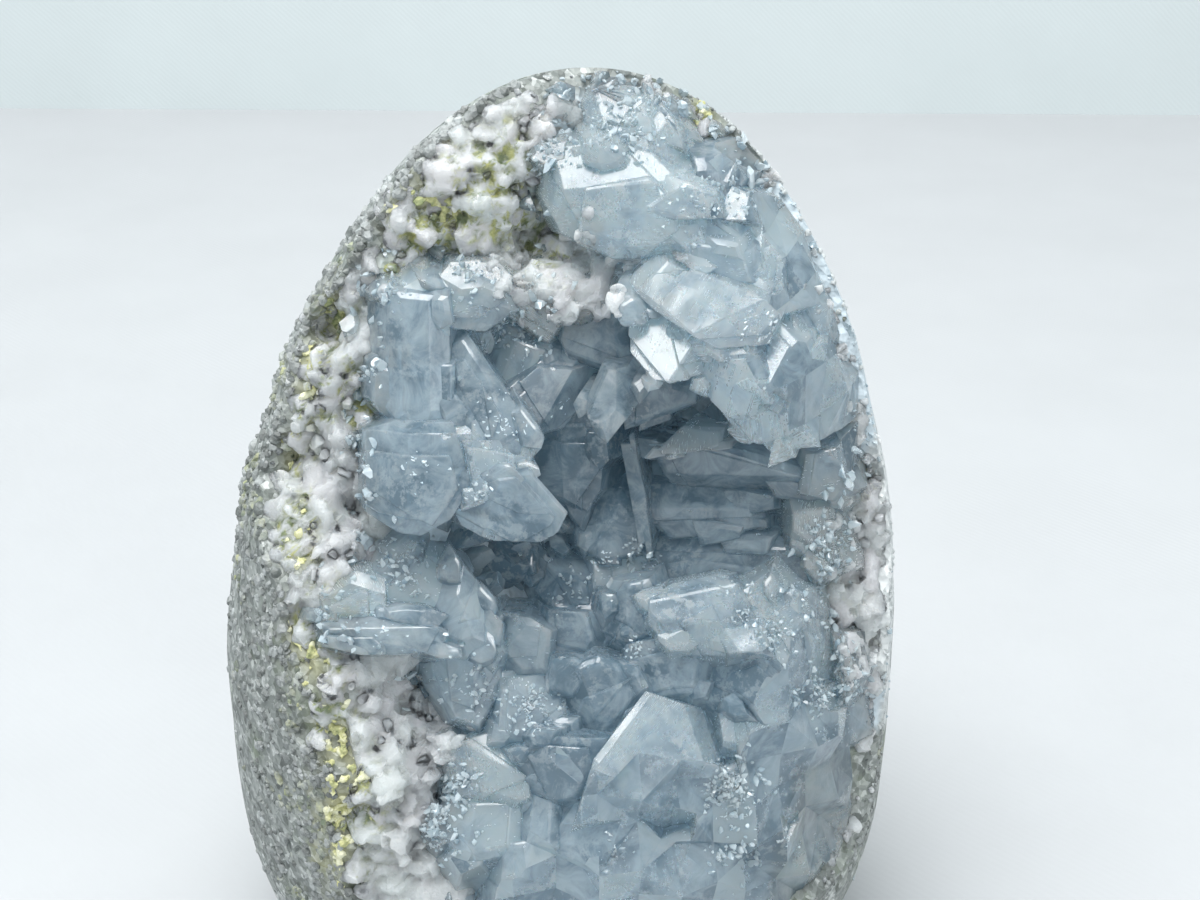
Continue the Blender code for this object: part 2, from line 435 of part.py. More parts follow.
def zone_outline():
    """The edge of the crystals' ground, broken up into short uneven steps."""
    chooser = random.Random(3)
    outline = []
    for i, (u2, v2) in enumerate(CRUST_ZONE):
        u1, v1 = CRUST_ZONE[i - 1]
        steps = max(1, round(math.hypot(u2 - u1, v2 - v1) / ZONE_STEP))
        for step in range(steps):
            share = step / steps
            outline.append((u1 + (u2 - u1) * share + chooser.uniform(-ZONE_SWAY, ZONE_SWAY),
                            v1 + (v2 - v1) * share + chooser.uniform(-ZONE_SWAY, ZONE_SWAY)))
    return outline


def zone_prism():
    """An upright block with the outline of the crystals' ground."""
    bm = bmesh.new()
    corners = [bm.verts.new((u, v, -FACE_FRONT)) for u, v in zone_outline()]
    base = bm.faces.new(corners)
    made = bmesh.ops.extrude_face_region(bm, geom=[base])
    for item in made["geom"]:
        if isinstance(item, bmesh.types.BMVert):
            item.co.z = FACE_FRONT
    for vert in bm.verts:
        vert.co = face_point(*vert.co)
    bmesh.ops.recalc_face_normals(bm, faces=bm.faces)
    return bm


def cut_crystal(centre, planes):
    """A cube of stock cut down by planes, each a point and an outward normal."""
    bm = bmesh.new()
    bmesh.ops.create_cube(bm, size=STOCK_SIZE, matrix=Matrix.Translation(centre))
    for point, normal in planes:
        geometry = bm.verts[:] + bm.edges[:] + bm.faces[:]
        cut = bmesh.ops.bisect_plane(bm, geom=geometry, dist=1e-4, plane_co=point,
                                     plane_no=normal, clear_outer=True)
        rim = [item for item in cut["geom_cut"] if isinstance(item, bmesh.types.BMEdge)]
        if rim:
            bmesh.ops.edgeloop_fill(bm, edges=rim)
    bmesh.ops.recalc_face_normals(bm, faces=bm.faces)
    return bm


def hero_planes(crystal):
    """The cutting planes of a crystal set out by its front outline."""
    chooser = random.Random(crystal.name)
    shrink = (VIEW_REACH - crystal.out) / VIEW_REACH
    points = [Vector((u * shrink, v * shrink)) for u, v in crystal.outline]
    hull = [points[i] for i in convex_hull_2d(points)]
    middle = sum(hull, Vector((0.0, 0.0))) / len(hull)
    lean_u, lean_v = crystal.lean

    def on_front(flat):
        out = crystal.out + lean_u * (flat.x - middle.x) + lean_v * (flat.y - middle.y)
        return Vector((flat.x, flat.y, out))

    front = Vector((-lean_u, -lean_v, 1.0)).normalized()
    back = Vector((crystal.foot[0], crystal.foot[1], -BODY_DEPTH))
    centre = on_front(middle)
    planes = [(centre, front), (centre + back, -front)]
    for angle, offset, tilt in crystal.facets:
        turn = math.radians(angle)
        slope = math.radians(tilt)
        aim = on_front(middle + Vector((math.cos(turn), math.sin(turn)))) - centre
        aim.normalize()
        planes.append((centre + aim * offset, front * math.cos(slope) + aim * math.sin(slope)))
    for i, corner in enumerate(hull):
        start = on_front(corner)
        end = on_front(hull[(i + 1) % len(hull)])
        outward = (end - start).cross(front).normalized()
        if outward.dot(start - centre) < 0.0:
            outward = -outward
        side = (end - start).cross(back + outward * crystal.flare * BODY_DEPTH).normalized()
        if side.dot(outward) < 0.0:
            side = -side
        planes.append((start, side))
        width = crystal.crown * chooser.uniform(0.4, 1.5)
        steep = chooser.uniform(0.6, 1.6)
        if chooser.random() < CROWN_SHARE:
            facet = (outward * CROWN_DROP + front * steep).normalized()
            planes.append((start - outward * width, facet))
    return centre + back * 0.5, planes


def filler_planes(root, axis, roll, width, thickness, length):
    """The cutting planes of a small prism with a domed tip."""
    side = axis.orthogonal().normalized()
    side.rotate(Matrix.Rotation(roll, 3, axis))
    face = axis.cross(side)
    lean = side * math.cos(PRISM_ANGLE) + face * math.sin(PRISM_ANGLE)
    mirror = side * math.cos(PRISM_ANGLE) - face * math.sin(PRISM_ANGLE)
    dome = axis * math.cos(DOME_ANGLE) + side * math.sin(DOME_ANGLE)
    roof = axis * math.cos(DOME_ANGLE) - side * math.sin(DOME_ANGLE)
    slope = axis * math.cos(DOME_ANGLE) + face * math.sin(DOME_ANGLE)
    tip = root + axis * length
    planes = [(tip, dome), (tip, roof), (tip - axis * thickness * 0.2, slope), (root, -axis)]
    for normal in (lean, mirror, -lean, -mirror):
        planes.append((root + normal * width * 0.5, normal))
    for normal in (face, -face):
        planes.append((root + normal * thickness * 0.5, normal))
    return root + axis * length * 0.5, planes


def inside_outline(outline, u, v):
    """Whether a face position lies inside an outline."""
    inside = False
    for i, (u1, v1) in enumerate(outline):
        u2, v2 = outline[i - 1]
        if (v1 > v) != (v2 > v) and u < (u2 - u1) * (v - v1) / (v2 - v1) + u1:
            inside = not inside
    return inside


def wall_normal(u, v):
    """Outward direction of the hollow's wall in the face frame."""
    step = 1.5
    slope_u = (wall_out(u + step, v) - wall_out(u - step, v)) / (2.0 * step)
    slope_v = (wall_out(u, v + step) - wall_out(u, v - step)) / (2.0 * step)
    return Vector((-slope_u, -slope_v, 1.0)).normalized()


def covers_large(point):
    """Whether a small crystal's tip would stand in front of a large crystal's face."""
    for crystal in CRYSTALS:
        if point.z > crystal.out - 1.0 and inside_outline(crystal.outline, point.x, point.y):
            return True
    return False


def filler_crystals():
    """Centres and cutting planes of the small crystals between the large ones."""
    chooser = random.Random(FILLER_SEED)
    made = []
    while len(made) < FILLER_COUNT:
        u = chooser.uniform(-29.0, 31.0)
        v = chooser.uniform(-53.0, 39.0)
        sway = Vector([chooser.uniform(-0.7, 0.7) for _ in range(3)])
        length = chooser.uniform(*FILLER_LENGTH)
        width = chooser.uniform(*FILLER_WIDTH)
        roll = chooser.uniform(0.0, math.pi)
        axis = (wall_normal(u, v) + sway).normalized()
        root = Vector((u, v, wall_out(u, v) - 1.0))
        if not inside_outline(CRUST_ZONE, u, v) or covers_large(root + axis * length):
            continue
        made.append(filler_planes(root, axis, roll, width, width * 0.7, length))
    return made


def make_object(name, bm, group, material=None):
    """Writes a mesh in metres as a named object in a collection."""
    bmesh.ops.scale(bm, vec=(MM, MM, MM), verts=bm.verts)
    mesh = bpy.data.meshes.new(name)
    bm.to_mesh(mesh)
    bm.free()
    item = bpy.data.objects.new(name, mesh)
    group.objects.link(item)
    if material:
        mesh.materials.append(material)
    return item


def crystal_object(name, centre, planes, group):
    """Cuts one crystal in the face frame and stands it in the world."""
    bm = cut_crystal(centre, planes)
    for vert in bm.verts:
        vert.co = face_point(*vert.co)
    bmesh.ops.recalc_face_normals(bm, faces=bm.faces)
    return make_object(name, bm, group)


def combine(item, operation, other=None, group=None):
    """Adds a Boolean with another object or with a whole collection."""
    cut = item.modifiers.new(operation.lower(), "BOOLEAN")
    cut.operation = operation
    cut.solver = "EXACT"
    if group:
        cut.operand_type = "COLLECTION"
        cut.collection = group
    else:
        cut.object = other


def keep_main_body(item):
    """Bakes an object's modifiers and drops sealed holes and loose chips."""
    graph = bpy.context.evaluated_depsgraph_get()
    mesh = bpy.data.meshes.new_from_object(item.evaluated_get(graph))
    item.modifiers.clear()
    item.data = mesh
    bm = bmesh.new()
    bm.from_mesh(mesh)
    waiting = set(bm.faces)
    bodies = []
    while waiting:
        body = {waiting.pop()}
        edge = list(body)
        while edge:
            near = {f for e in edge.pop().edges for f in e.link_faces} & waiting
            waiting -= near
            body |= near
            edge.extend(near)
        bodies.append(body)
    main = max(bodies, key=len)
    spare = [face for face in bm.faces if face not in main]
    bmesh.ops.delete(bm, geom=spare, context="FACES")
    bm.to_mesh(mesh)
    bm.free()


def named_material(name, colour, roughness, transmission=0.0):
    """A plain Principled material."""
    material = bpy.data.materials.new(name)
    material.use_nodes = True
    shader = material.node_tree.nodes["Principled BSDF"]
    shader.inputs["Base Color"].default_value = (*colour, 1.0)
    shader.inputs["Roughness"].default_value = roughness
    shader.inputs["Transmission Weight"].default_value = transmission
    return material


def main():
    clear_scene()
    scene = bpy.context.scene
    parts = bpy.data.collections.new("celestite_crystal_cluster")
    cutters = bpy.data.collections.new("cutters")
    crystals = bpy.data.collections.new("crystals")
    for group in (parts, cutters, crystals):
        scene.collection.children.link(group)

    rock = named_material("ground_rock", (0.36, 0.36, 0.34), 0.75)
    celestite = named_material("celestite", (0.52, 0.62, 0.72), 0.25, 0.6)

    hollow = make_object("hollow_cutter", wall_block(0.0, 0.0), cutters)
    room = make_object("crust_room", wall_block(CRUST_GAP, 0.0), cutters)
    skin = make_object("crust_skin", egg_mesh(SKIN_INSET), cutters)
    zone = make_object("crust_zone", zone_prism(), cutters)
    for crystal in CRYSTALS:
        centre, planes = hero_planes(crystal)
        crystal_object(crystal.name, centre, planes, crystals)
    for i, (centre, planes) in enumerate(filler_crystals()):
        crystal_object(f"small_crystal_{i:02d}", centre, planes, crystals)
    for item in list(cutters.objects) + list(crystals.objects):
        item.hide_render = True
        item.display_type = "WIRE"

    shell = make_object("geode_shell", egg_mesh(0.0), parts, rock)
    combine(shell, "DIFFERENCE", other=hollow)

    crust = make_object("crystal_crust", wall_block(-1.5, 1.5 + CRUST_GAP + CRUST_LINER), parts, celestite)
    combine(crust, "INTERSECT", other=zone)
    combine(crust, "UNION", group=crystals)
    combine(crust, "INTERSECT", other=room)
    combine(crust, "INTERSECT", other=skin)

    keep_main_body(shell)
    keep_main_body(crust)


main()
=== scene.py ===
"""Celestite geode ground to a free-standing egg, dressed for its portrait.

Forms are worked out in millimetres, in the frame of the CAD: +Z up, the open front
towards -Y, the origin in the middle of the flat base. A mesh becomes metres when it
is finished. The open front has a face frame of its own: u to the right, v up the
front and w out of it, leaning back by the face's pitch.
"""

import logging
import math
import random
from collections.abc import Callable, Sequence
from dataclasses import dataclass, field
from enum import Enum

import bmesh
import bpy
import numpy as np
from mathutils import Matrix, Vector, noise
from mathutils.bvhtree import BVHTree
from mathutils.geometry import convex_hull_2d

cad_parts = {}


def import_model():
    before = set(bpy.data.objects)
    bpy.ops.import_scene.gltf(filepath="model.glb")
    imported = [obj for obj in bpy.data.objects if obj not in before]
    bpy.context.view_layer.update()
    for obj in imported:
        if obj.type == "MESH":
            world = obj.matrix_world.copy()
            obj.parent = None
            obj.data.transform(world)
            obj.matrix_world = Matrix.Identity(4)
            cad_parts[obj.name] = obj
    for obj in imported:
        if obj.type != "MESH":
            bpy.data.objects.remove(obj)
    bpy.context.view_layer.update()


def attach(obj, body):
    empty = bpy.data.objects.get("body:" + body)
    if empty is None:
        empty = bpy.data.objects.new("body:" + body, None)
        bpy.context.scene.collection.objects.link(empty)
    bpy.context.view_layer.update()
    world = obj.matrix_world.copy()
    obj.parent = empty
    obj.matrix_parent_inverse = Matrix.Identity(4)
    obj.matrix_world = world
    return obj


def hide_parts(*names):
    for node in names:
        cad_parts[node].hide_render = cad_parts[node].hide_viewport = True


LOG = logging.getLogger("celestite_geode")
MM = 0.001
BODY = "root"

Plane = tuple[Vector, Vector]
Colour = tuple[float, float, float, float]


# ---------------------------------------------------------------- small helpers


def linear(code: str) -> Colour:
    """Turns an sRGB hex value into a linear colour.

    Args:
        code: Six hex digits after a hash.

    Returns:
        Red, green, blue and alpha, each from 0 to 1.
    """
    parts = [int(code[i:i + 2], 16) / 255.0 for i in (1, 3, 5)]
    red, green, blue = (c / 12.92 if c <= 0.04045 else ((c + 0.055) / 1.055) ** 2.4 for c in parts)
    return (red, green, blue, 1.0)


def per_metre(size_mm: float) -> float:
    """Pattern scale at which a feature is about a size in millimetres."""
    return 1.0 / (size_mm * MM)


def numbers(text: str) -> tuple[tuple[float, ...], ...]:
    """Reads rows of numbers with a semicolon between rows."""
    return tuple(tuple(float(word) if "." in word else int(word) for word in row.split()) for row in text.split(";"))


class Recipe:
    """A finish being mixed: its node tree, its shader and what most finishes read."""

    def __init__(self, name: str, layer: str = "") -> None:
        """Starts a material.

        Args:
            name: The finish's name.
            layer: The attribute whose three numbers the finish reads.
        """
        self.material = bpy.data.materials.new(name)
        self.material.use_nodes = True
        self.tree = self.material.node_tree
        self.tree.nodes.clear()
        self.output = self.tree.nodes.new("ShaderNodeOutputMaterial")
        self.shader = self.tree.nodes.new("ShaderNodeBsdfPrincipled")
        self.tree.links.new(self.shader.outputs["BSDF"], self.output.inputs["Surface"])
        self.place = self.add("TexCoord", out="Object")
        if layer:
            colour = self.add("Attribute", out="Color", attribute_name=layer)
            self.numbers = tuple(self.add("SeparateColor", colour).node.outputs)

    def feed(self, node: bpy.types.Node, sockets: dict) -> None:
        """Feeds a node's sockets.

        Args:
            node: The node.
            sockets: Socket name or number to a value, a hex colour, or the output that feeds it.
        """
        for key, value in sockets.items():
            if isinstance(value, bpy.types.NodeSocket):
                self.tree.links.new(value, node.inputs[key])
            else:
                node.inputs[key].default_value = linear(value) if isinstance(value, str) else value

    def add(self, kind: str, *values: object, out: int | str = 0, at: dict | None = None,
            **named: object) -> bpy.types.NodeSocket:
        """Adds a node with its settings and links. A Math node adds unless told otherwise.

        Args:
            kind: Blender's name of the node type, after ShaderNode.
            values: What feeds its first sockets.
            out: Name or number of the output that is wanted.
            at: What feeds sockets given by number.
            named: Sockets by name, which starts with a capital, and settings, which don't.
                Ramp stops are pairs of place and colour.

        Returns:
            The output.
        """
        node = self.tree.nodes.new("ShaderNode" + kind)
        for name, value in named.items():
            if name == "stops":
                ramp = node.color_ramp
                while len(ramp.elements) < len(value):
                    ramp.elements.new(0.5)
                for element, (place, colour) in zip(ramp.elements, value):
                    element.position = place
                    element.color = linear(colour) if isinstance(colour, str) else colour
            elif name[0].islower():
                setattr(node, name, value)
        sockets = {name: value for name, value in named.items() if name[0].isupper()}
        self.feed(node, {**dict(enumerate(values)), **(at or {}), **sockets})
        return node.outputs[out]


def primitive(operator: Callable, **options: object) -> bpy.types.Object:
    """Adds a primitive, at the middle unless told otherwise, with nothing else selected."""
    for item in bpy.context.selected_objects:
        item.select_set(False)
    operator(**{"location": (0.0, 0.0, 0.0), **options})
    return bpy.context.object


def face_outward() -> None:
    """Turns all faces of the mesh in edit mode outward and leaves edit mode."""
    bpy.ops.mesh.select_all(action="SELECT")
    bpy.ops.mesh.normals_make_consistent(inside=False)
    bpy.ops.object.mode_set(mode="OBJECT")


def modify(item: bpy.types.Object, kind: str, **settings: object) -> None:
    """Adds a modifier with its settings and applies it.

    Args:
        item: The piece.
        kind: Blender's name of the modifier type.
        settings: Its settings.
    """
    modifier = item.modifiers.new(kind.lower(), kind)
    for key, value in settings.items():
        setattr(modifier, key, value)
    bpy.context.view_layer.objects.active = item
    bpy.ops.object.modifier_apply(modifier=modifier.name)


def cut_stock(name: str, centre: Vector, size: float, planes: Sequence[Plane]) -> bpy.types.Object:
    """Cuts a cube of stock down by planes, as a lapidary saw would.

    Args:
        name: The object's name.
        centre: The cube's middle.
        size: The cube's edge.
        planes: Points and outward normals of the cuts.

    Returns:
        The cut piece, its place in its mesh.
    """
    item = primitive(bpy.ops.mesh.primitive_cube_add, size=size, location=centre)
    item.name = name
    bpy.ops.object.transform_apply(location=True, rotation=True, scale=True)
    bpy.ops.object.mode_set(mode="EDIT")
    for point, normal in planes:
        bpy.ops.mesh.select_all(action="SELECT")
        bpy.ops.mesh.bisect(plane_co=point, plane_no=normal, use_fill=True, clear_outer=True, threshold=1e-4)
    face_outward()
    return item


def wear_edges(item: bpy.types.Object, width: float) -> None:
    """Breaks a piece's sharp edges by a narrow bevel."""
    modify(item, "BEVEL", width=width, segments=1, limit_method="ANGLE", angle_limit=math.radians(12.0),
           use_clamp_overlap=True)


def park(item: bpy.types.Object) -> None:
    """Takes an object off the bench, so that the next operators stay quick."""
    for group in list(item.users_collection):
        group.objects.unlink(item)


def carve(item: bpy.types.Object, other: bpy.types.Object, operation: str) -> None:
    """Combines a piece with another, which is used up, by UNION, DIFFERENCE or INTERSECT."""
    modify(item, "BOOLEAN", operation=operation, solver="MANIFOLD", object=other)
    bpy.data.objects.remove(other, do_unlink=True)


def grow_together(items: list[bpy.types.Object]) -> bpy.types.Object:
    """Joins overlapping solids to one, two by two.

    Args:
        items: The solids, used up but for the first.

    Returns:
        The one solid.
    """
    while len(items) > 1:
        paired = []
        for first, second in zip(items[::2], items[1::2]):
            bpy.context.scene.collection.objects.link(first)
            carve(first, second, "UNION")
            park(first)
            paired.append(first)
        if len(items) % 2:
            paired.append(items[-1])
        items = paired
    bpy.context.scene.collection.objects.link(items[0])
    return items[0]


def paint(mesh: bpy.types.Mesh, name: str, domain: str, values: np.ndarray) -> None:
    """Stores four numbers on each point or corner of a mesh.

    Args:
        mesh: The mesh.
        name: The attribute's name, which a material reads.
        domain: POINT or CORNER.
        values: One row of four for each point or corner.
    """
    layer = mesh.color_attributes.new(name, "FLOAT_COLOR", domain)
    layer.data.foreach_set("color", np.asarray(values, dtype=np.float32).ravel())


def finish_piece(item: bpy.types.Object, name: str, material: bpy.types.Material) -> bpy.types.Object:
    """Turns a finished mesh to metres, names it and gives it its one material.

    Args:
        item: The piece in millimetres.
        name: Its name in the scene.
        material: Its finish.

    Returns:
        The piece, at the origin, unturned and unscaled.
    """
    item.name = name
    item.data.name = name
    item.data.transform(Matrix.Scale(MM, 4))
    item.data.materials.clear()
    item.data.materials.append(material)
    item.data.update()
    return item


def smooth_step(low: float, high: float, value: float) -> float:
    """Eases from 0 at a low value to 1 at a high one."""
    share = min(max((value - low) / (high - low), 0.0), 1.0)
    return share * share * (3.0 - 2.0 * share)


def between(limits: tuple[float, float], share: float) -> float:
    """A value at a share of the way from the first limit to the second."""
    return limits[0] + share * (limits[1] - limits[0])


def inside_outline(outline: Sequence[tuple[float, float]], u: float, v: float) -> bool:
    """Says whether a face position lies inside an outline."""
    inside = False
    for i, (u1, v1) in enumerate(outline):
        u2, v2 = outline[i - 1]
        if (v1 > v) != (v2 > v) and u < (u2 - u1) * (v - v1) / (v2 - v1) + u1:
            inside = not inside
    return inside


def outline_gap(outline: Sequence[tuple[float, float]], u: float, v: float) -> float:
    """Distance from a face position to the nearest side of an outline."""
    nearest = 1e9
    for i, (u1, v1) in enumerate(outline):
        u2, v2 = outline[i - 1]
        along_u, along_v = u2 - u1, v2 - v1
        share = ((u - u1) * along_u + (v - v1) * along_v) / (along_u * along_u + along_v * along_v)
        share = min(max(share, 0.0), 1.0)
        nearest = min(nearest, math.hypot(u - u1 - share * along_u, v - v1 - share * along_v))
    return nearest


# ---------------------------------------------------------------- forms shared by the pieces


@dataclass(frozen=True)
class FaceFrame:
    """The leaning frame in which the open front is laid out."""

    origin: Vector = Vector((4.5, -10.0, 68.0))
    pitch: float = math.radians(25.0)
    view_reach: float = 204.0

    def point(self, u: float, v: float, w: float) -> Vector:
        """World position of a face-frame point."""
        sin_p, cos_p = math.sin(self.pitch), math.cos(self.pitch)
        return self.origin + Vector((u, v * sin_p - w * cos_p, v * cos_p + w * sin_p))

    def eye(self) -> Vector:
        """Where the camera stands, in millimetres."""
        return self.point(0.0, 0.0, self.view_reach)

    def direction(self, flat: Vector) -> Vector:
        """World direction of a face-frame direction."""
        return self.point(*flat) - self.origin

    def local(self, world: Vector) -> Vector:
        """Face-frame position of a world point."""
        sin_p, cos_p = math.sin(self.pitch), math.cos(self.pitch)
        away = world - self.origin
        return Vector((away.x, away.y * sin_p + away.z * cos_p, -away.y * cos_p + away.z * sin_p))


FACE = FaceFrame()
SOFTBOX = Vector((-120.0, -180.0, 800.0))


@dataclass(frozen=True)
class Egg:
    """The ground egg's form."""

    height: float = 104.5
    half_width: float = 37.1
    widest_z: float = 41.0
    depth_share: float = 0.84
    upper_power: float = 1.56
    upper_root: float = 2.16
    lower_reach: float = 48.0
    lower_power: float = 4.0
    apex_shift: float = 3.3
    swells: tuple = ((-1, 61.5, 0.9, 5.0), (-1, 77.0, -0.9, 5.5), (1, 80.0, 0.4, 8.0), (1, 60.0, -0.3, 7.0))

    def radius(self, z: float) -> float:
        """Half width at a height."""
        if z >= self.widest_z:
            share = min((z - self.widest_z) / (self.height - self.widest_z), 1.0)
            return self.half_width * (1.0 - share ** self.upper_power) ** (1.0 / self.upper_root)
        share = (self.widest_z - z) / self.lower_reach
        return self.half_width * math.sqrt(1.0 - share ** self.lower_power)

    def shift(self, z: float) -> float:
        """How far the middle stands to the right at a height."""
        return self.apex_shift * max(z - self.widest_z, 0.0) / (self.height - self.widest_z)

    def swell(self, side: float, z: float) -> float:
        """How far the outline stands off its plain curve on one side at a height."""
        amount = sum(a * math.exp(-((z - h) / reach) ** 2)
                     for which, h, a, reach in self.swells if which * side > 0.0)
        return amount * side * side

    def skin(self, z: float, across: float, deep: float, inset: float) -> Vector:
        """Point of the skin at a height, in the direction of a level unit vector."""
        reach = max(self.radius(z) - inset, 0.0)
        x = across * reach
        side = x / self.half_width
        x += self.shift(z) + math.copysign(self.swell(side, z), side)
        return Vector((x, deep * reach * self.depth_share, z))

    def below_skin(self, point: Vector) -> float:
        """Roughly how many millimetres a point lies under the ground skin."""
        z = min(max(point.z, 0.1), self.height - 0.1)
        x = point.x - self.shift(z)
        side = x / self.half_width
        x -= math.copysign(self.swell(side, z), side)
        slope = (self.radius(min(z + 0.5, self.height)) - self.radius(z - 0.1)) / 0.6
        gap = self.radius(z) - math.hypot(x, point.y / self.depth_share)
        return min(gap / math.hypot(1.0, slope), self.height - point.z)


EGG = Egg()


@dataclass(frozen=True)
class Wall:
    """The broken wall of the hollow, as its height out of the face plane.

    Each row of depths runs from left to right at one level, and the rows run upward. Each
    spot is its middle in the face plane, its reach and how far it stands out.
    """

    u_start: float = -38.0
    u_step: float = 9.0
    v_start: float = -66.0
    v_step: float = 10.0
    lump: float = 1.5
    lump_span: float = 5.5
    fine_lump: float = 0.55
    fine_span: float = 1.7
    reach_u: tuple[float, float] = (-44.0, 42.0)
    reach_v: tuple[float, float] = (-66.0, 46.0)
    front: float = 45.0
    depths: tuple = numbers("""
        3.0 3.0 3.0 3.0 3.0 3.0 3.0 3.0 3.0; -5.0 -5.0 -4.0 -3.0 -2.5 -3.0 -5.0 -9.0 -14.0;
        -5.0 -5.3 -6.0 -7.0 -8.0 -9.0 -11.0 -14.0 -20.0; -0.5 -1.2 -3.5 -6.5 -8.5 -9.5 -10.5 -12.5 -18.0;
        1.0 0.8 -2.0 -6.0 -9.0 -10.0 -10.0 -10.5 -14.0; 1.5 1.5 -1.5 -6.5 -10.5 -11.5 -11.0 -9.5 -11.0;
        -2.0 -0.5 -2.0 -6.0 -10.5 -12.0 -11.0 -8.0 -8.0; -1.0 0.0 -1.0 -4.5 -8.0 -9.0 -7.5 -4.5 -5.0;
        4.0 3.3 2.0 -0.5 -2.5 -2.5 -2.0 -2.5 -4.0; 7.0 6.0 5.3 3.0 1.0 0.0 0.5 0.0 -2.0;
        12.0 11.0 9.0 6.3 3.5 3.0 2.5 2.0 2.0; 9.0 8.0 6.0 3.0 1.0 0.0 0.0 0.0 0.0""")
    spots: tuple = numbers("""
        -28.0 13.0 2.8 -4.5; -16.5 19.6 2.4 -2.6; -6.8 21.4 2.2 -3.0; -7.0 18.2 1.8 -2.0; -12.0 27.6 3.6 1.8;
        -5.5 33.0 4.2 1.3; -15.5 24.2 3.0 1.0; -31.2 -0.8 2.4 -2.2; -25.2 -5.8 2.2 -3.0; -22.6 -10.6 2.4 -3.0;
        -30.4 -17.0 2.8 -2.0; -19.6 -24.4 3.2 -2.4; -31.0 -28.5 2.0 -1.6; -20.5 -31.5 4.4 1.6; -27.0 -24.0 2.6 1.2;
        -23.0 -38.0 4.0 1.4; -28.0 4.0 3.4 1.2; -26.5 -37.5 2.2 -2.0; 27.6 -2.6 1.8 -3.2; 27.0 -15.0 3.2 1.2;
        -9.0 -12.5 3.4 -2.0""")

    @staticmethod
    def spline(values: Sequence[float], place: float) -> float:
        """Smooth value at a place along evenly spaced values."""
        last = len(values) - 1
        i = min(max(int(math.floor(place)), 0), last - 1)
        f = min(max(place - i, 0.0), 1.0)
        before, start, end, after = values[max(i - 1, 0)], values[i], values[i + 1], values[min(i + 2, last)]
        curve = 2.0 * before - 5.0 * start + 4.0 * end - after
        twist = 3.0 * (start - end) + after - before
        return start + 0.5 * f * (end - before + f * (curve + f * twist))

    def out(self, u: float, v: float) -> float:
        """How far out the wall stands at a face position."""
        across = (u - self.u_start) / self.u_step
        rows = [self.spline(row, across) for row in self.depths]
        height = self.spline(rows, (v - self.v_start) / self.v_step)
        for spot_u, spot_v, reach, amount in self.spots:
            height += amount * math.exp(-((u - spot_u) ** 2 + (v - spot_v) ** 2) / (reach * reach))
        return height + self.lump * noise.noise(Vector((u / self.lump_span, v / self.lump_span, 0.4)))

    def rough_out(self, u: float, v: float) -> float:
        """The wall with its broken grain."""
        fine = noise.noise(Vector((u / self.fine_span, v / self.fine_span, 3.1)))
        crumb = noise.noise(Vector((u / 0.7, v / 0.7, 7.7)))
        return self.out(u, v) + self.fine_lump * fine + 0.3 * crumb

    def normal(self, u: float, v: float) -> Vector:
        """Outward direction of the wall in the face frame."""
        step = 1.2
        slope_u = (self.out(u + step, v) - self.out(u - step, v)) / (2.0 * step)
        slope_v = (self.out(u, v + step) - self.out(u, v - step)) / (2.0 * step)
        return Vector((-slope_u, -slope_v, 1.0)).normalized()

    def block(self, name: str, cell: float, lift: float, height: Callable[[float, float], float]) -> bpy.types.Object:
        """Builds a block that fills the hollow from its wall out past the front.

        Args:
            name: The object's name.
            cell: Spacing of the wall's points.
            lift: How far the block's inner face stands out of the wall.
            height: The wall's height at a face position.

        Returns:
            The closed block.
        """
        span_u = self.reach_u[1] - self.reach_u[0]
        span_v = self.reach_v[1] - self.reach_v[0]
        item = primitive(bpy.ops.mesh.primitive_grid_add, x_subdivisions=round(span_u / cell),
                         y_subdivisions=round(span_v / cell), size=1.0)
        item.name = name
        bpy.ops.object.mode_set(mode="EDIT")
        bpy.ops.mesh.select_all(action="SELECT")
        bpy.ops.mesh.quads_convert_to_tris()
        bpy.ops.mesh.extrude_region_move(TRANSFORM_OT_translate={"value": (0.0, 0.0, 1.0)})
        bpy.ops.object.mode_set(mode="OBJECT")
        for vert in item.data.vertices:
            u = self.reach_u[0] + (vert.co.x + 0.5) * span_u
            v = self.reach_v[0] + (vert.co.y + 0.5) * span_v
            out = self.front if vert.co.z > 0.5 else height(u, v) + lift
            vert.co = FACE.point(u, v, out)
        bpy.ops.object.mode_set(mode="EDIT")
        face_outward()
        return item


WALL = Wall()


class Look(Enum):
    """How a crystal meets the eye: its tone from deep to pale, and its frosting."""

    DEEP = (0.20, 0.05)
    CLEAR = (0.44, 0.12)
    PALE = (0.74, 0.35)
    FROSTED = (0.92, 0.75)
    BRIGHT = (0.98, 0.66)
    WHITE = (1.00, 1.00)


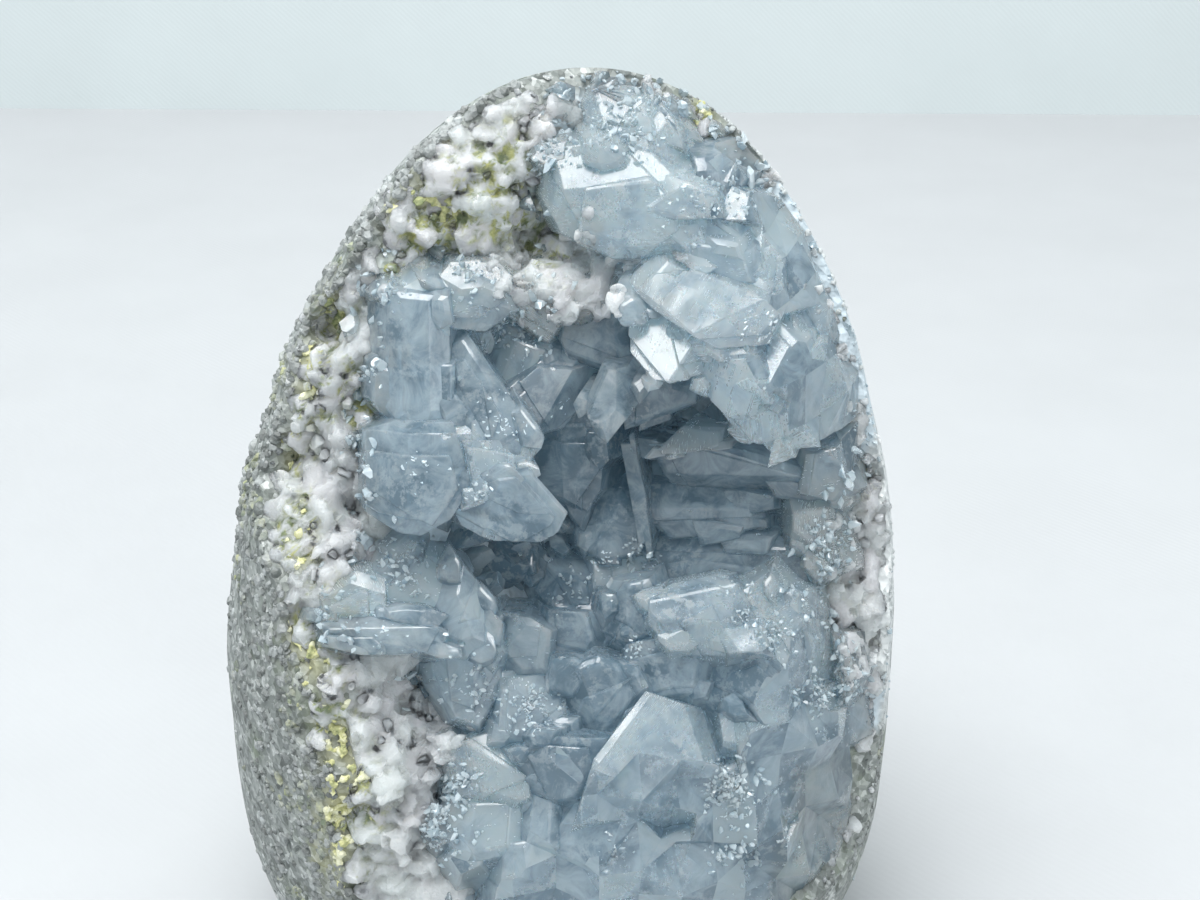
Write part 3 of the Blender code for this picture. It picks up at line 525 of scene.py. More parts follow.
@dataclass(frozen=True)
class Crystal:
    """A large crystal set out by its front outline, as seen on the face plane.

    Each facet is an angle in the front plane, its distance from the middle and its tilt.
    """

    name: str
    look: Look
    out: float
    lean: tuple[float, float]
    foot: tuple[float, float]
    crown: float
    outline: tuple[tuple[float, float], ...]
    facets: tuple[tuple[float, float, float], ...] = ()
    flare: float = 0.30

    body_depth = 22.0
    crown_drop = 0.75
    crown_share = 0.62
    terrace_area = 22.0
    satellite_share = 0.42
    glint_reach = 0.5

    def hull(self) -> list[Vector]:
        """The outline's corners, drawn in to their place in front of the face plane."""
        shrink = (FACE.view_reach - self.out) / FACE.view_reach
        points = [Vector((u * shrink, v * shrink)) for u, v in self.outline]
        return [points[i] for i in convex_hull_2d(points)]

    def layers(self) -> list[tuple[Vector, list[Plane]]]:
        """Works out the cuts of the crystal and of the growth terraces on its front.

        Returns:
            A middle and a list of cutting planes for each layer, in the face frame.
        """
        chooser = random.Random(self.name)
        hull = self.hull()
        middle = sum(hull, Vector((0.0, 0.0))) / len(hull)
        area = abs(sum(a.cross(b) for a, b in zip(hull, hull[1:] + hull[:1]))) * 0.5
        front = Vector((-self.lean[0], -self.lean[1], 1.0)).normalized()
        back = Vector((self.foot[0], self.foot[1], -self.body_depth))

        def on_front(flat: Vector) -> Vector:
            rise = self.lean[0] * (flat.x - middle.x) + self.lean[1] * (flat.y - middle.y)
            return Vector((flat.x, flat.y, self.out + rise))

        centre = on_front(middle)
        chamfers = []
        sides = []
        for i, corner in enumerate(hull):
            start, end = on_front(corner), on_front(hull[(i + 1) % len(hull)])
            outward = (end - start).cross(front).normalized()
            if outward.dot(start - centre) < 0.0:
                outward = -outward
            side = (end - start).cross(back + outward * self.flare * self.body_depth).normalized()
            if side.dot(outward) < 0.0:
                side = -side
            sides.append((start, side, outward))
            width = self.crown * chooser.uniform(0.4, 1.5)
            steep = chooser.uniform(0.6, 1.6)
            if chooser.random() < self.crown_share:
                chamfers.append((start - outward * width, (outward * self.crown_drop + front * steep).normalized()))
        slants = []
        for angle, offset, tilt in self.facets:
            turn, slope = math.radians(angle), math.radians(tilt)
            aim = (on_front(middle + Vector((math.cos(turn), math.sin(turn)))) - centre).normalized()
            slants.append((centre + aim * offset, front * math.cos(slope) + aim * math.sin(slope)))

        if self.look is Look.BRIGHT:
            spread = max((corner - middle).length for corner in hull)
            glint = self.glint(centre)
            aim = glint - front * glint.dot(front)
            if aim.length > 0.02:
                slants.append((centre - aim.normalized() * spread * self.glint_reach, glint))

        shaper = random.Random("terrace " + self.name)
        count = min(int(area / self.terrace_area), 2)
        step = shaper.uniform(0.15, 0.42)
        made = []
        for layer in range(count + 1):
            drop = front * (-step * (count - layer))
            planes = [(centre + drop, front), (centre + back, -front)]
            for start, side, outward in sides:
                inset = shaper.uniform(0.5, 1.9) * layer if layer and shaper.random() < 0.45 else 0.0
                planes.append((start - outward * inset, side))
            planes += [(point + drop, normal) for point, normal in slants + chamfers]
            made.append((centre + back * 0.5, planes))
        return made

    @staticmethod
    def glint(centre: Vector) -> Vector:
        """Direction that a facet faces, in the face frame, to flash the softbox at the camera."""
        to_eye = (Vector((0.0, 0.0, FACE.view_reach)) - centre).normalized()
        to_light = (FACE.local(SOFTBOX) - centre).normalized()
        return (to_eye + to_light).normalized()

    def satellites(self) -> list["Crystal"]:
        """Sets out the small crystals that grew parallel with this one at its corners."""
        chooser = random.Random("satellite " + self.name)
        hull = [Vector(corner) for corner in self.outline]
        middle = sum(hull, Vector((0.0, 0.0))) / len(hull)
        spread = max((corner - middle).length for corner in hull)
        made = []
        for corner in hull:
            if spread < 3.0 or chooser.random() > self.satellite_share:
                continue
            scale = chooser.uniform(0.22, 0.46)
            spot = middle + (corner - middle) * chooser.uniform(0.72, 0.96)
            outline = tuple(tuple(spot + (other - middle) * scale * chooser.uniform(0.8, 1.25)) for other in hull)
            rise = self.lean[0] * (spot.x - middle.x) + self.lean[1] * (spot.y - middle.y)
            lean = (self.lean[0] + chooser.uniform(-0.12, 0.12), self.lean[1] + chooser.uniform(-0.12, 0.12))
            name = f"{self.name}_{len(made)}"
            look = Look.PALE if self.look is Look.BRIGHT else self.look
            made.append(Crystal(name, look, self.out + rise - chooser.uniform(-0.35, 1.5), lean, self.foot,
                                self.crown * 0.5, outline, ((chooser.uniform(0, 360), scale * 1.5, 26),), self.flare))
        return made

    def grain_direction(self) -> Vector:
        """Direction along which the growth lines of the front run, in the face frame."""
        hull = self.hull()
        longest = max(zip(hull, hull[1:] + hull[:1]), key=lambda pair: (pair[1] - pair[0]).length)
        flat = (longest[1] - longest[0]).normalized()
        return Vector((flat.x, flat.y, self.lean[0] * flat.x + self.lean[1] * flat.y)).normalized()


def read_crystals(table: str) -> tuple[Crystal, ...]:
    """Reads a table of crystals.

    Args:
        table: A row each, continued on lines that start with two blanks: its name, look, distance out, lean,
            foot, crown and flare, then the corners of its outline, then its facets.

    Returns:
        The crystals.
    """
    made = []
    for row in table.replace("\n  ", " ").strip().splitlines():
        head, *shapes = row.split(" : ")
        name, look, *sizes = head.split()
        out, lean_u, lean_v, foot_u, foot_v, crown, *flare = map(float, sizes)
        facets = numbers(shapes[1]) if len(shapes) > 1 else ()
        made.append(Crystal(name, Look[look], out, (lean_u, lean_v), (foot_u, foot_v), crown, numbers(shapes[0]),
                            facets, *flare))
    return tuple(made)


CRYSTALS = read_crystals("""
top_block_left FROSTED 6.5 0.0 -0.35 0 1 1.0 : -1.5 35.5; 0.2 38.8; 3.0 38.2; 4.7 35.3; 2.9 32.6; -0.6 31.8 : 60
  0.5 30
top_prism FROSTED 8.0 -0.2 -0.1 1 3 0.8 : 1.5 33.0; 4.7 35.2; 7.0 33.2; 9.3 30.8; 9.7 26.5; 5.2 27.5; 1.6 29.5 :
  170 0.8 28; 20 1.2 30
top_block_right FROSTED 5.0 -0.3 -0.2 2 2 0.7 : 4.5 38.0; 7.5 36.0; 10.5 31.5; 7.5 32.0; 4.5 34.5
top_bead_left FROSTED 7.8 0.1 -0.3 -1 2 0.7 : -7.4 30.2; -6.2 31.8; -3.4 32.0; -3.6 29.6; -5.7 29.0
top_bead_right PALE 8.0 -0.1 -0.2 0 2 0.6 : -3.0 31.5; 0.6 32.2; 0.9 29.6; -2.6 29.2
upper_slab FROSTED 9.6 0.05 0.1 1 8 1.3 : -5.2 25.0; -4.6 29.6; 0.0 30.3; 5.0 29.2; 10.0 25.6; 10.4 21.5; 8.4
  20.0; 1.5 19.6; -3.8 22.2 : 95 2.2 24; 215 4.2 18
upper_slab_end PALE 9.0 -0.25 -0.2 4 8 0.7 : 7.5 26.8; 10.5 26.4; 14.5 23.4; 15.4 19.6; 12.0 20.6; 8.5 23.0
grey_cube DEEP 8.2 -0.15 0.15 3 5 0.8 : 9.7 29.4; 13.4 29.8; 14.2 28.0; 12.7 23.7; 10.0 24.5 : 10 0.9 32
mirror_chip BRIGHT 8.8 0.1 -0.55 3 4 0.2 : 12.6 23.4; 12.9 27.8; 14.7 26.4; 16.6 25.4; 15.2 23.4
upper_flat PALE 9.2 0.0 0.25 4 7 0.7 : 9.2 21.0; 12.5 20.6; 15.2 19.8; 16.2 17.0; 12.0 17.3; 9.2 19.0
upper_plate FROSTED 10.8 -0.1 -0.35 6 8 0.9 0.1 : 2.6 16.6; 5.0 19.3; 9.7 19.9; 15.0 17.6; 18.2 14.0; 16.4 10.2;
  11.6 10.0; 5.2 14.2 : 300 2.6 20; 60 3.5 16
hexagon BRIGHT 12.0 -0.15 -0.15 7 9 1.7 0.05 : 1.8 15.4; 5.2 14.9; 9.4 12.6; 10.8 9.4; 9.7 6.8; 5.0 6.6; 2.2 8.9
  : 250 3.0 30; 170 3.0 26
mass_left WHITE 10.2 0.0 0.2 7 8 0.9 0.1 : 9.6 6.2; 10.4 10.2; 15.0 10.6; 17.0 7.4; 15.6 2.9; 13.0 3.2 : 200 0.5
  22
mass_mirror BRIGHT 10.4 -0.2 -0.3 8 8 0.5 0.1 : 15.9 7.0; 17.5 12.2; 20.4 10.4; 20.6 5.2; 18.2 4.0
mass_lip_left WHITE 8.6 -0.15 0.45 6 10 1.1 0.0 : 11.2 4.6; 15.6 7.0; 20.5 5.8; 21.4 0.4; 18.6 -0.5; 14.2 1.0 :
  90 0.5 35
mass_lip_right WHITE 5.4 -0.55 0.2 4 10 1.0 0.0 : 19.2 7.5; 22.0 10.4; 25.4 7.2; 27.6 4.6; 27.5 1.6; 24.0 0.0;
  18.6 -0.4 : 60 1.5 25
right_upper_a FROSTED 6.6 -0.5 -0.2 4 5 0.8 : 16.0 23.0; 19.8 24.0; 23.0 18.2; 21.6 15.0; 18.2 13.8; 15.6 17.6 :
  10 1.0 25
right_upper_b FROSTED 3.4 -0.7 -0.25 3 4 0.8 : 20.2 19.4; 23.4 17.3; 25.6 13.0; 26.4 8.4; 22.4 9.4; 19.6 14.0
right_upper_c FROSTED 4.8 -0.7 0.1 3 5 0.6 : 19.6 13.8; 23.2 10.0; 25.8 7.4; 22.2 5.8; 19.6 9.8
left_column CLEAR 7.2 0.1 0.1 -3 6 1.0 : -22.2 15.0; -20.8 16.0; -15.6 15.4; -15.5 5.0; -16.7 1.5; -19.8 1.8;
  -22.4 5.4 : 180 1.2 30; 0 1.6 28
left_column_top PALE 6.8 0.15 -0.3 -3 6 0.9 : -22.2 16.0; -20.8 19.0; -18.0 18.7; -16.4 15.4; -19.4 13.6; -22.0
  14.6 : 120 0.5 30
left_block PALE 7.0 0.0 0.05 -1 7 0.9 : -17.8 17.0; -13.5 17.6; -10.2 16.4; -9.2 13.9; -11.7 12.2; -15.0 12.4;
  -17.3 14.4 : 160 1.0 25
left_block_top FROSTED 6.0 0.0 -0.45 -1 5 0.6 : -17.2 16.6; -15.3 19.2; -11.2 19.6; -9.2 17.2; -10.0 15.4; -13.5
  16.4
white_wedge_left WHITE 4.4 0.05 0.15 -1 6 0.5 : -10.0 17.4; -5.0 17.8; -2.6 14.6; -5.3 11.0; -7.2 13.0; -9.8
  14.0
white_wedge_right WHITE 4.6 -0.05 0.1 1 6 0.5 : -5.2 17.6; 1.8 17.2; 2.2 14.4; -2.0 12.8; -4.6 13.6
under_wedge DEEP 3.0 0.15 0.15 2 6 0.7 : -3.6 13.4; 2.2 14.4; 2.6 9.6; 0.0 8.2; -3.2 9.4; -4.0 11.2
pocket_chip PALE 1.8 0.3 0.25 -3 3 0.6 : -9.2 11.4; -5.6 10.0; -6.8 7.0; -8.9 5.4; -11.0 7.0
left_blade CLEAR 7.6 0.2 -0.1 -6 5 0.6 0.15 : -16.3 9.6; -13.4 11.6; -10.6 7.2; -8.6 4.6; -7.0 2.0; -8.0 -0.6;
  -13.0 -0.2; -15.4 4.6 : 20 1.0 30
dark_ridge DEEP 2.6 -0.25 0.1 3 6 0.8 : -9.8 5.4; -5.2 9.4; -1.6 9.2; -1.0 4.6; -3.0 2.6; -7.4 1.6 : 330 0.3 40
deep_block DEEP -1.6 0.2 0.3 2 5 0.8 : -7.6 1.8; -5.2 3.4; -1.2 3.4; 0.2 0.4; -0.1 -4.2; -2.0 -7.0; -4.8 -5.2;
  -6.8 -2.2 : 180 0.5 25
hanging_point CLEAR 7.4 0.1 -0.2 5 8 1.0 0.0 : -1.8 4.6; -0.2 8.3; 2.6 8.2; 4.8 6.4; 3.6 4.2; 0.5 0.3; -0.4 0.9
  : 0 0.3 40
hanging_side DEEP 4.4 0.0 0.45 4 7 0.6 0.1 : 2.6 6.6; 5.2 7.2; 9.8 6.2; 9.6 4.4; 5.4 2.8; 2.4 1.8
under_lip_chip BRIGHT 2.2 0.0 -0.5 5 4 0.3 0.0 : 5.2 -0.6; 8.4 2.4; 12.7 2.2; 12.4 0.3; 7.6 -0.6
dark_bar DEEP -0.6 0.05 0.5 5 3 0.6 0.1 : 4.8 0.4; 10.2 0.8; 16.2 -0.8; 20.6 -2.2; 21.0 -4.6; 16.1 -5.0; 11.6
  -4.8; 7.0 -3.6 : 270 0.2 40
dark_bar_low DEEP -2.8 0.0 0.3 4 2 0.6 0.2 : 5.0 -4.2; 9.3 -4.0; 16.0 -5.2; 16.4 -7.8; 12.0 -8.8; 7.0 -9.0; 4.8
  -7.0 : 90 0.5 44
dark_hood CLEAR -3.8 0.12 0.1 3 1 1.0 0.2 : 5.4 -9.8; 9.7 -9.0; 15.2 -9.0; 20.9 -9.8; 21.0 -14.8; 17.9 -14.6;
  6.6 -15.0 : 90 1.2 52
pale_lump FROSTED -1.8 -0.25 0.0 3 1 1.3 : 19.6 -5.2; 22.9 -4.8; 25.0 -7.6; 25.0 -11.0; 22.0 -12.0; 19.6 -10.0
pale_lump_top PALE -0.6 -0.2 0.3 3 3 0.8 : 21.0 -0.6; 26.5 0.8; 27.2 -3.0; 24.5 -5.4; 20.5 -4.4
centre_blade DEEP 0.2 0.3 0.1 3 5 0.2 0.0 : 2.1 0.6; 3.5 0.6; 4.7 -4.8; 4.9 -9.4; 4.0 -9.9; 3.2 -4.4
centre_low DEEP -2.8 0.1 -0.15 1 2 0.8 : -2.0 -5.6; 2.0 -4.4; 4.0 -6.2; 4.4 -10.4; 0.2 -11.2; -2.0 -9.8 : 150
  0.4 30
centre_foot PALE -3.6 -0.1 -0.4 0 0 0.6 : -0.8 -10.0; 3.4 -9.6; 5.4 -12.2; 3.0 -14.6; -0.4 -14.0
left_cube CLEAR 8.8 0.05 0.0 -6 4 1.2 0.0 : -23.5 1.4; -20.5 2.7; -14.8 2.7; -12.8 -4.0; -15.0 -7.4; -18.0 -9.1;
  -20.0 -9.0; -23.3 -7.2 : 180 1.0 32; 290 3.0 22
left_plate_upper FROSTED 8.6 0.1 -0.15 -6 5 0.6 0.1 : -15.4 2.4; -11.7 2.5; -8.9 2.0; -7.2 0.6; -6.5 -2.4; -9.4
  -4.4; -13.8 -6.2 : 0 1.0 20
left_plate_lower CLEAR 8.9 0.05 0.22 -7 6 0.8 0.0 : -14.8 -5.8; -9.8 -2.6; -7.0 -2.0; -5.1 -4.3; -3.0 -6.6; -4.0
  -8.6; -5.8 -9.6; -11.0 -9.5; -13.8 -8.2 : 160 2.5 25
pointed_crystal CLEAR 4.6 0.3 -0.1 -2 -5 1.2 0.15 : -15.4 -11.4; -14.2 -11.4; -11.0 -15.0; -11.0 -18.4; -11.7
  -20.0; -14.4 -21.0; -17.2 -19.8; -17.4 -16.0 : 25 0.2 42; 120 2.0 25
side_bar CLEAR 5.0 0.15 -0.2 -6 0 0.7 0.15 : -28.8 -16.8; -23.5 -16.2; -18.9 -16.8; -15.3 -18.6; -16.2 -20.4;
  -21.2 -20.8; -25.3 -20.1; -28.2 -18.8 : 90 0.4 35
side_block PALE 2.8 0.2 0.0 -5 2 0.9 : -22.8 -13.0; -19.4 -10.6; -16.0 -12.0; -16.2 -15.0; -17.8 -17.4; -22.0
  -16.8 : 45 0.8 30
side_pale FROSTED 3.4 0.1 -0.15 -5 1 0.8 : -28.4 -14.6; -24.8 -12.8; -22.0 -13.6; -21.8 -17.0; -28.0 -17.2
below_point PALE 2.8 0.15 0.05 -3 -2 0.9 : -16.6 -20.0; -11.0 -19.8; -10.3 -24.0; -12.4 -28.0; -14.6 -27.2;
  -16.2 -23.8 : 0 0.6 32
low_prism CLEAR 2.4 0.25 0.0 1 -4 0.7 : 0.6 -15.6; 1.8 -13.8; 4.9 -13.2; 5.6 -15.0; 5.8 -18.4; 2.5 -19.2; 0.8
  -17.8 : 180 0.4 35
low_bright FROSTED 6.2 -0.05 -0.3 2 -4 1.3 0.2 : 5.0 -15.2; 7.5 -13.8; 12.0 -12.9; 14.0 -13.8; 15.4 -16.8; 15.2
  -19.4; 12.6 -20.2; 7.5 -20.0; 5.0 -17.4 : 270 0.8 38
low_rough FROSTED 3.4 -0.25 -0.1 4 -2 0.8 : 14.4 -14.6; 17.5 -12.9; 20.0 -15.4; 20.6 -20.6; 19.5 -25.0; 16.4
  -22.4; 14.6 -19.2 : 45 0.8 25
low_mid CLEAR 3.6 0.0 0.15 1 -5 0.8 : 3.4 -20.0; 6.2 -19.0; 11.0 -19.8; 10.2 -24.6; 5.6 -25.0; 3.2 -22.4 : 200
  0.8 30
low_dark_prism DEEP 4.2 0.2 0.1 3 -5 0.8 : 11.2 -20.6; 15.2 -18.8; 18.2 -22.2; 19.0 -26.2; 15.7 -27.4; 13.2
  -26.6; 10.4 -24.4 : 150 0.2 38; 350 2.0 30
low_dark_block DEEP 4.0 0.1 0.2 0 -5 0.9 : -3.4 -22.4; -0.3 -21.0; 3.7 -22.2; 5.2 -25.2; 0.6 -30.4; -5.0 -29.6;
  -4.2 -25.8 : 200 0.5 35
dark_hexagon DEEP 6.0 0.15 0.45 0 -5 0.9 : -8.2 -30.9; -5.9 -29.1; 0.1 -29.4; 0.4 -30.9; -1.4 -35.2; -4.4 -36.0;
  -6.8 -34.7 : 180 1.6 28; 0 1.8 28
bright_plate FROSTED 5.6 -0.25 -0.25 2 -6 0.8 0.2 : 4.7 -24.8; 9.8 -26.6; 11.4 -31.3; 10.8 -34.2; 4.7 -35.8;
  -1.9 -36.3; -0.6 -31.3 : 265 2.6 35
front_left CLEAR 3.6 0.05 -0.1 0 -5 1.0 : -2.4 -36.2; 2.9 -35.8; 5.5 -40.0; 5.0 -43.6; 1.5 -46.5; -4.6 -46.5;
  -5.1 -40.2 : 200 1.5 25
front_right PALE 0.2 -0.25 -0.05 2 -4 1.1 : 5.2 -40.0; 10.7 -38.2; 16.1 -38.3; 18.2 -41.0; 17.0 -46.0; 5.4 -46.5
  : 90 1.0 25
white_rough WHITE 1.2 -0.2 -0.35 2 -4 0.5 : 10.0 -34.4; 14.3 -31.8; 17.0 -33.0; 16.4 -36.3; 12.9 -37.8; 10.0
  -38.6
broad_face FROSTED 1.8 -0.15 -0.18 4 -4 0.8 : 13.6 -27.6; 16.6 -26.0; 21.8 -25.6; 21.8 -29.8; 17.6 -34.2; 14.8
  -33.4 : 300 1.2 22
clear_mirror BRIGHT -4.0 -0.6 -0.1 4 -3 0.7 : 21.6 -28.6; 24.1 -29.0; 25.4 -32.7; 23.6 -37.6; 21.4 -38.2; 20.2
  -33.8 : 20 0.2 40
edge_face FROSTED -7.6 -0.9 -0.1 3 -2 0.7 : 24.6 -27.4; 28.6 -26.8; 30.0 -28.6; 28.6 -34.0; 24.8 -37.8; 24.0
  -33.6
edge_bright BRIGHT -4.4 -0.55 -0.45 3 -4 0.5 : 16.4 -38.0; 22.0 -37.4; 22.9 -39.2; 18.4 -43.0; 16.6 -41.2
mid_spark PALE 3.2 0.0 -0.2 -1 -4 0.7 : -10.0 -23.6; -5.0 -23.4; -4.0 -26.8; -6.4 -29.6; -10.2 -29.0 : 60 0.4 30
mid_pale PALE 1.4 0.15 0.1 -2 -4 0.8 : -11.4 -16.6; -7.1 -17.2; -5.0 -18.4; -5.4 -22.6; -8.9 -22.8; -11.2 -20.2
  : 140 0.6 28
mid_deep CLEAR -0.6 0.05 -0.1 0 -4 0.8 : -5.2 -16.4; -0.5 -16.6; 0.2 -19.2; -2.0 -22.0; -5.2 -21.4
mid_back DEEP -3.0 0.1 -0.3 -1 0 0.8 : -4.8 -11.6; -0.5 -12.6; 0.0 -16.4; -4.6 -16.6; -5.8 -14.4
low_left_a FROSTED 2.6 0.1 -0.1 -2 -5 0.9 : -15.5 -30.2; -10.7 -29.0; -7.6 -31.0; -7.2 -35.2; -9.8 -36.3; -13.7
  -35.5 : 60 1.0 25
low_left_b PALE 1.8 0.1 -0.15 -2 -5 0.9 : -14.7 -35.6; -8.0 -35.4; -8.4 -40.6; -13.5 -41.8; -15.8 -38.6 : 170
  1.0 25
low_left_c PALE 2.2 0.0 0.05 -1 -5 0.9 : -9.6 -40.2; -4.6 -39.6; -4.4 -45.0; -10.0 -46.0
low_left_d CLEAR 2.6 0.15 -0.1 0 -4 0.6 : -7.4 -34.6; -4.2 -35.4; -4.4 -40.4; -8.2 -40.8
edge_pale FROSTED -5.0 -0.45 0.0 4 -1 0.9 : 24.6 -20.0; 29.4 -21.0; 29.6 -25.4; 25.2 -25.0
""")

CRUST_ZONE: tuple[tuple[float, float], ...] = numbers("""
    -23.0 18.5; -24.5 1.0; -24.5 -9.0; -29.0 -16.0; -24.0 -21.0; -17.0 -27.0; -17.0 -52.0; 4.0 -54.0; 24.0 -50.0;
    30.0 -38.0; 31.0 -27.0; 24.0 -20.0; 24.0 -6.0; 29.0 2.0; 28.5 8.0; 25.0 18.0; 18.0 28.0; 9.0 36.0; 1.0 41.0;
    -6.0 33.0; -8.0 24.0; -1.0 19.0; -3.0 15.0; -9.0 18.0; -17.0 21.0""")


# ---------------------------------------------------------------- finishes


@dataclass(frozen=True)
class CelestiteFinish:
    """Celestite, grown in open space: clear within, its faces from mirror to frosted.

    Growth lines about 0.4 mm apart streak the faces, low growth hills 2 to 4 mm wide
    bend their reflections, veils of tiny bubbles whiten the clear stone, and patches
    of etching and short white etch lines bloom on the faces.
    """

    name: str = "clear_to_frosted_celestite"
    ior: float = 1.62
    transmission: float = 0.74
    glow: float = 1.0
    glow_reach: tuple = (0.85, 0.94, 1.0)
    glow_mm: float = 2.6
    deep: str = "#8FA6B4"
    middle: str = "#C3D5DF"
    pale: str = "#E4F3FA"
    bloom: str = "#EEF8FC"
    absorption: str = "#A8CADC"
    density: float = 18.0
    line_mm: float = 0.4
    dash_mm: tuple = (0.8, 0.12)
    hill_mm: float = 2.6
    veil_mm: float = 3.0
    cloud_mm: float = 8.0
    etch_mm: float = 1.3

    def material(self) -> bpy.types.Material:
        """Builds the material, which reads the growth and lines attributes."""
        mix = Recipe(self.name, "growth")
        tone, frost, chance = mix.numbers
        lines = mix.add("Attribute", out="Vector", attribute_name="lines")
        own = mix.add("VectorMath", chance, (0.37, 0.29, 0.41), mix.place, operation="MULTIPLY_ADD")
        veil, clouds, fine, hills = (
            mix.add("TexNoise", out="Fac", Vector=own, Scale=per_metre(size), Detail=detail, Roughness=rough,
                    Distortion=twist)
            for size, detail, rough, twist in ((self.veil_mm, 4.0, 0.66, 0.8), (self.cloud_mm, 1.0, 0.5, 0.0),
                                               (self.etch_mm, 4.0, 0.75, 0.0), (self.hill_mm, 0.0, 0.5, 0.0)))
        dashes, streaks = (
            mix.add("TexNoise", out="Fac", Vector=mix.add("Mapping", lines, Scale=(1.0 / along, 1.0 / across, 0.4)),
                    Scale=1.0, Detail=1.0)
            for along, across in (self.dash_mm, (8.0, self.line_mm)))

        toned = mix.add("Math", tone, mix.add("MapRange", chance, 0.0, 1.0, -0.17, 0.17))
        toned = mix.add("Math", toned, mix.add("MapRange", veil, 0.3, 0.7, -0.6, 0.6))
        toned = mix.add("Math", toned, mix.add("MapRange", clouds, 0.3, 0.7, -0.34, 0.34), use_clamp=True)
        colour = mix.add("ValToRGB", toned, stops=((0.0, self.deep), (0.45, self.middle), (1.0, self.pale)))

        white = mix.add("MapRange", fine, 0.5, 0.58, 0.0, 1.0)
        white = mix.add("Math", white, mix.add("MapRange", clouds, 0.42, 0.52, 1.0, 0.0), operation="MULTIPLY")
        dashes = mix.add("MapRange", dashes, 0.58, 0.66, 0.0, 0.8)
        for value, low, high in ((clouds, 0.50, 0.58), (fine, 0.44, 0.54)):
            dashes = mix.add("Math", dashes, mix.add("MapRange", value, low, high, 0.0, 1.0), operation="MULTIPLY")
        white = mix.add("Math", white, dashes, use_clamp=True)
        white = mix.add("Math", white, mix.add("MapRange", frost, 0.0, 1.0, 0.5, 1.0), operation="MULTIPLY")
        colour = mix.add("Mix", out=2, at={0: white, 6: colour, 7: self.bloom}, data_type="RGBA")

        rough = mix.add("Math", mix.add("MapRange", streaks, 0.35, 0.65, -0.02, 0.05),
                        mix.add("MapRange", frost, 0.0, 1.0, 0.05, 0.26))
        rough = mix.add("Math", rough, mix.add("Math", white, 0.25, operation="MULTIPLY"), use_clamp=True)
        relief = mix.add("Math", mix.add("Math", hills, 2.4, operation="MULTIPLY"),
                         mix.add("Math", streaks, 0.12, operation="MULTIPLY"))
        bump = mix.add("Bump", Height=relief, Strength=1.0, Distance=0.0001)
        mix.feed(mix.shader, {
            "Base Color": colour, "Roughness": rough, "Normal": bump, "IOR": self.ior,
            "Transmission Weight": self.transmission, "Subsurface Weight": self.glow,
            "Subsurface Radius": self.glow_reach, "Subsurface Scale": self.glow_mm * MM})
        if self.density:
            mix.feed(mix.output, {"Volume": mix.add("VolumeAbsorption", self.absorption, self.density)})
        return mix.material


@dataclass(frozen=True)
class SugarFinish:
    """Grains of celestite and calcite fused to a sugary mass: bright, soft-lit from within."""

    name: str = "sugary_grain"
    dark: str = "#B4B9B8"
    light: str = "#C2C8C7"
    blush: str = "#CAC4C8"
    moss: str = "#6D7958"
    ochre: str = "#BDBE84"
    roughness: float = 0.42
    glow: float = 1.0
    glow_reach: tuple = (0.9, 0.85, 0.8)
    glow_mm: float = 7.0
    ior: float = 1.60
    cloud_mm: float = 1.8
    coat_mm: float = 1.9
    grit_mm: float = 0.4

    def material(self) -> bpy.types.Material:
        """Builds the material, which reads each grain's tint: shade, moss, blush."""
        mix = Recipe(self.name, "tint")
        shade, moss, blush = mix.numbers
        cloud = mix.add("TexNoise", out="Fac", Vector=mix.place, Scale=per_metre(self.cloud_mm), Detail=4.0,
                        Roughness=0.65)
        shade = mix.add("Math", shade, mix.add("MapRange", cloud, 0.3, 0.7, -0.4, 0.4), use_clamp=True)
        grey = mix.add("ValToRGB", shade, stops=((0.0, self.dark), (1.0, self.light)))
        rosy = mix.add("Mix", out=2, at={0: blush, 6: grey, 7: self.blush}, data_type="RGBA")
        coat = mix.add("TexNoise", out="Fac", Vector=mix.place, Scale=per_metre(self.coat_mm), Detail=5.0,
                       Roughness=0.68, Distortion=0.5)
        cover = mix.add("Math", moss, mix.add("MapRange", coat, 0.40, 0.58, 0.0, 1.25), operation="MULTIPLY",
                        use_clamp=True)
        yolk = mix.add("ValToRGB", cloud, stops=((0.42, self.moss), (0.62, self.ochre)))
        colour = mix.add("Mix", out=2, at={0: cover, 6: rosy, 7: yolk}, data_type="RGBA")
        grit = mix.add("TexNoise", out="Fac", Vector=mix.place, Scale=per_metre(self.grit_mm), Detail=3.0)
        bump = mix.add("Bump", Height=grit, Strength=0.7, Distance=0.0002)
        mix.feed(mix.shader, {
            "Base Color": colour, "Roughness": self.roughness, "Normal": bump, "IOR": self.ior,
            "Subsurface Weight": self.glow, "Subsurface Radius": self.glow_reach,
            "Subsurface Scale": self.glow_mm * MM})
        return mix.material


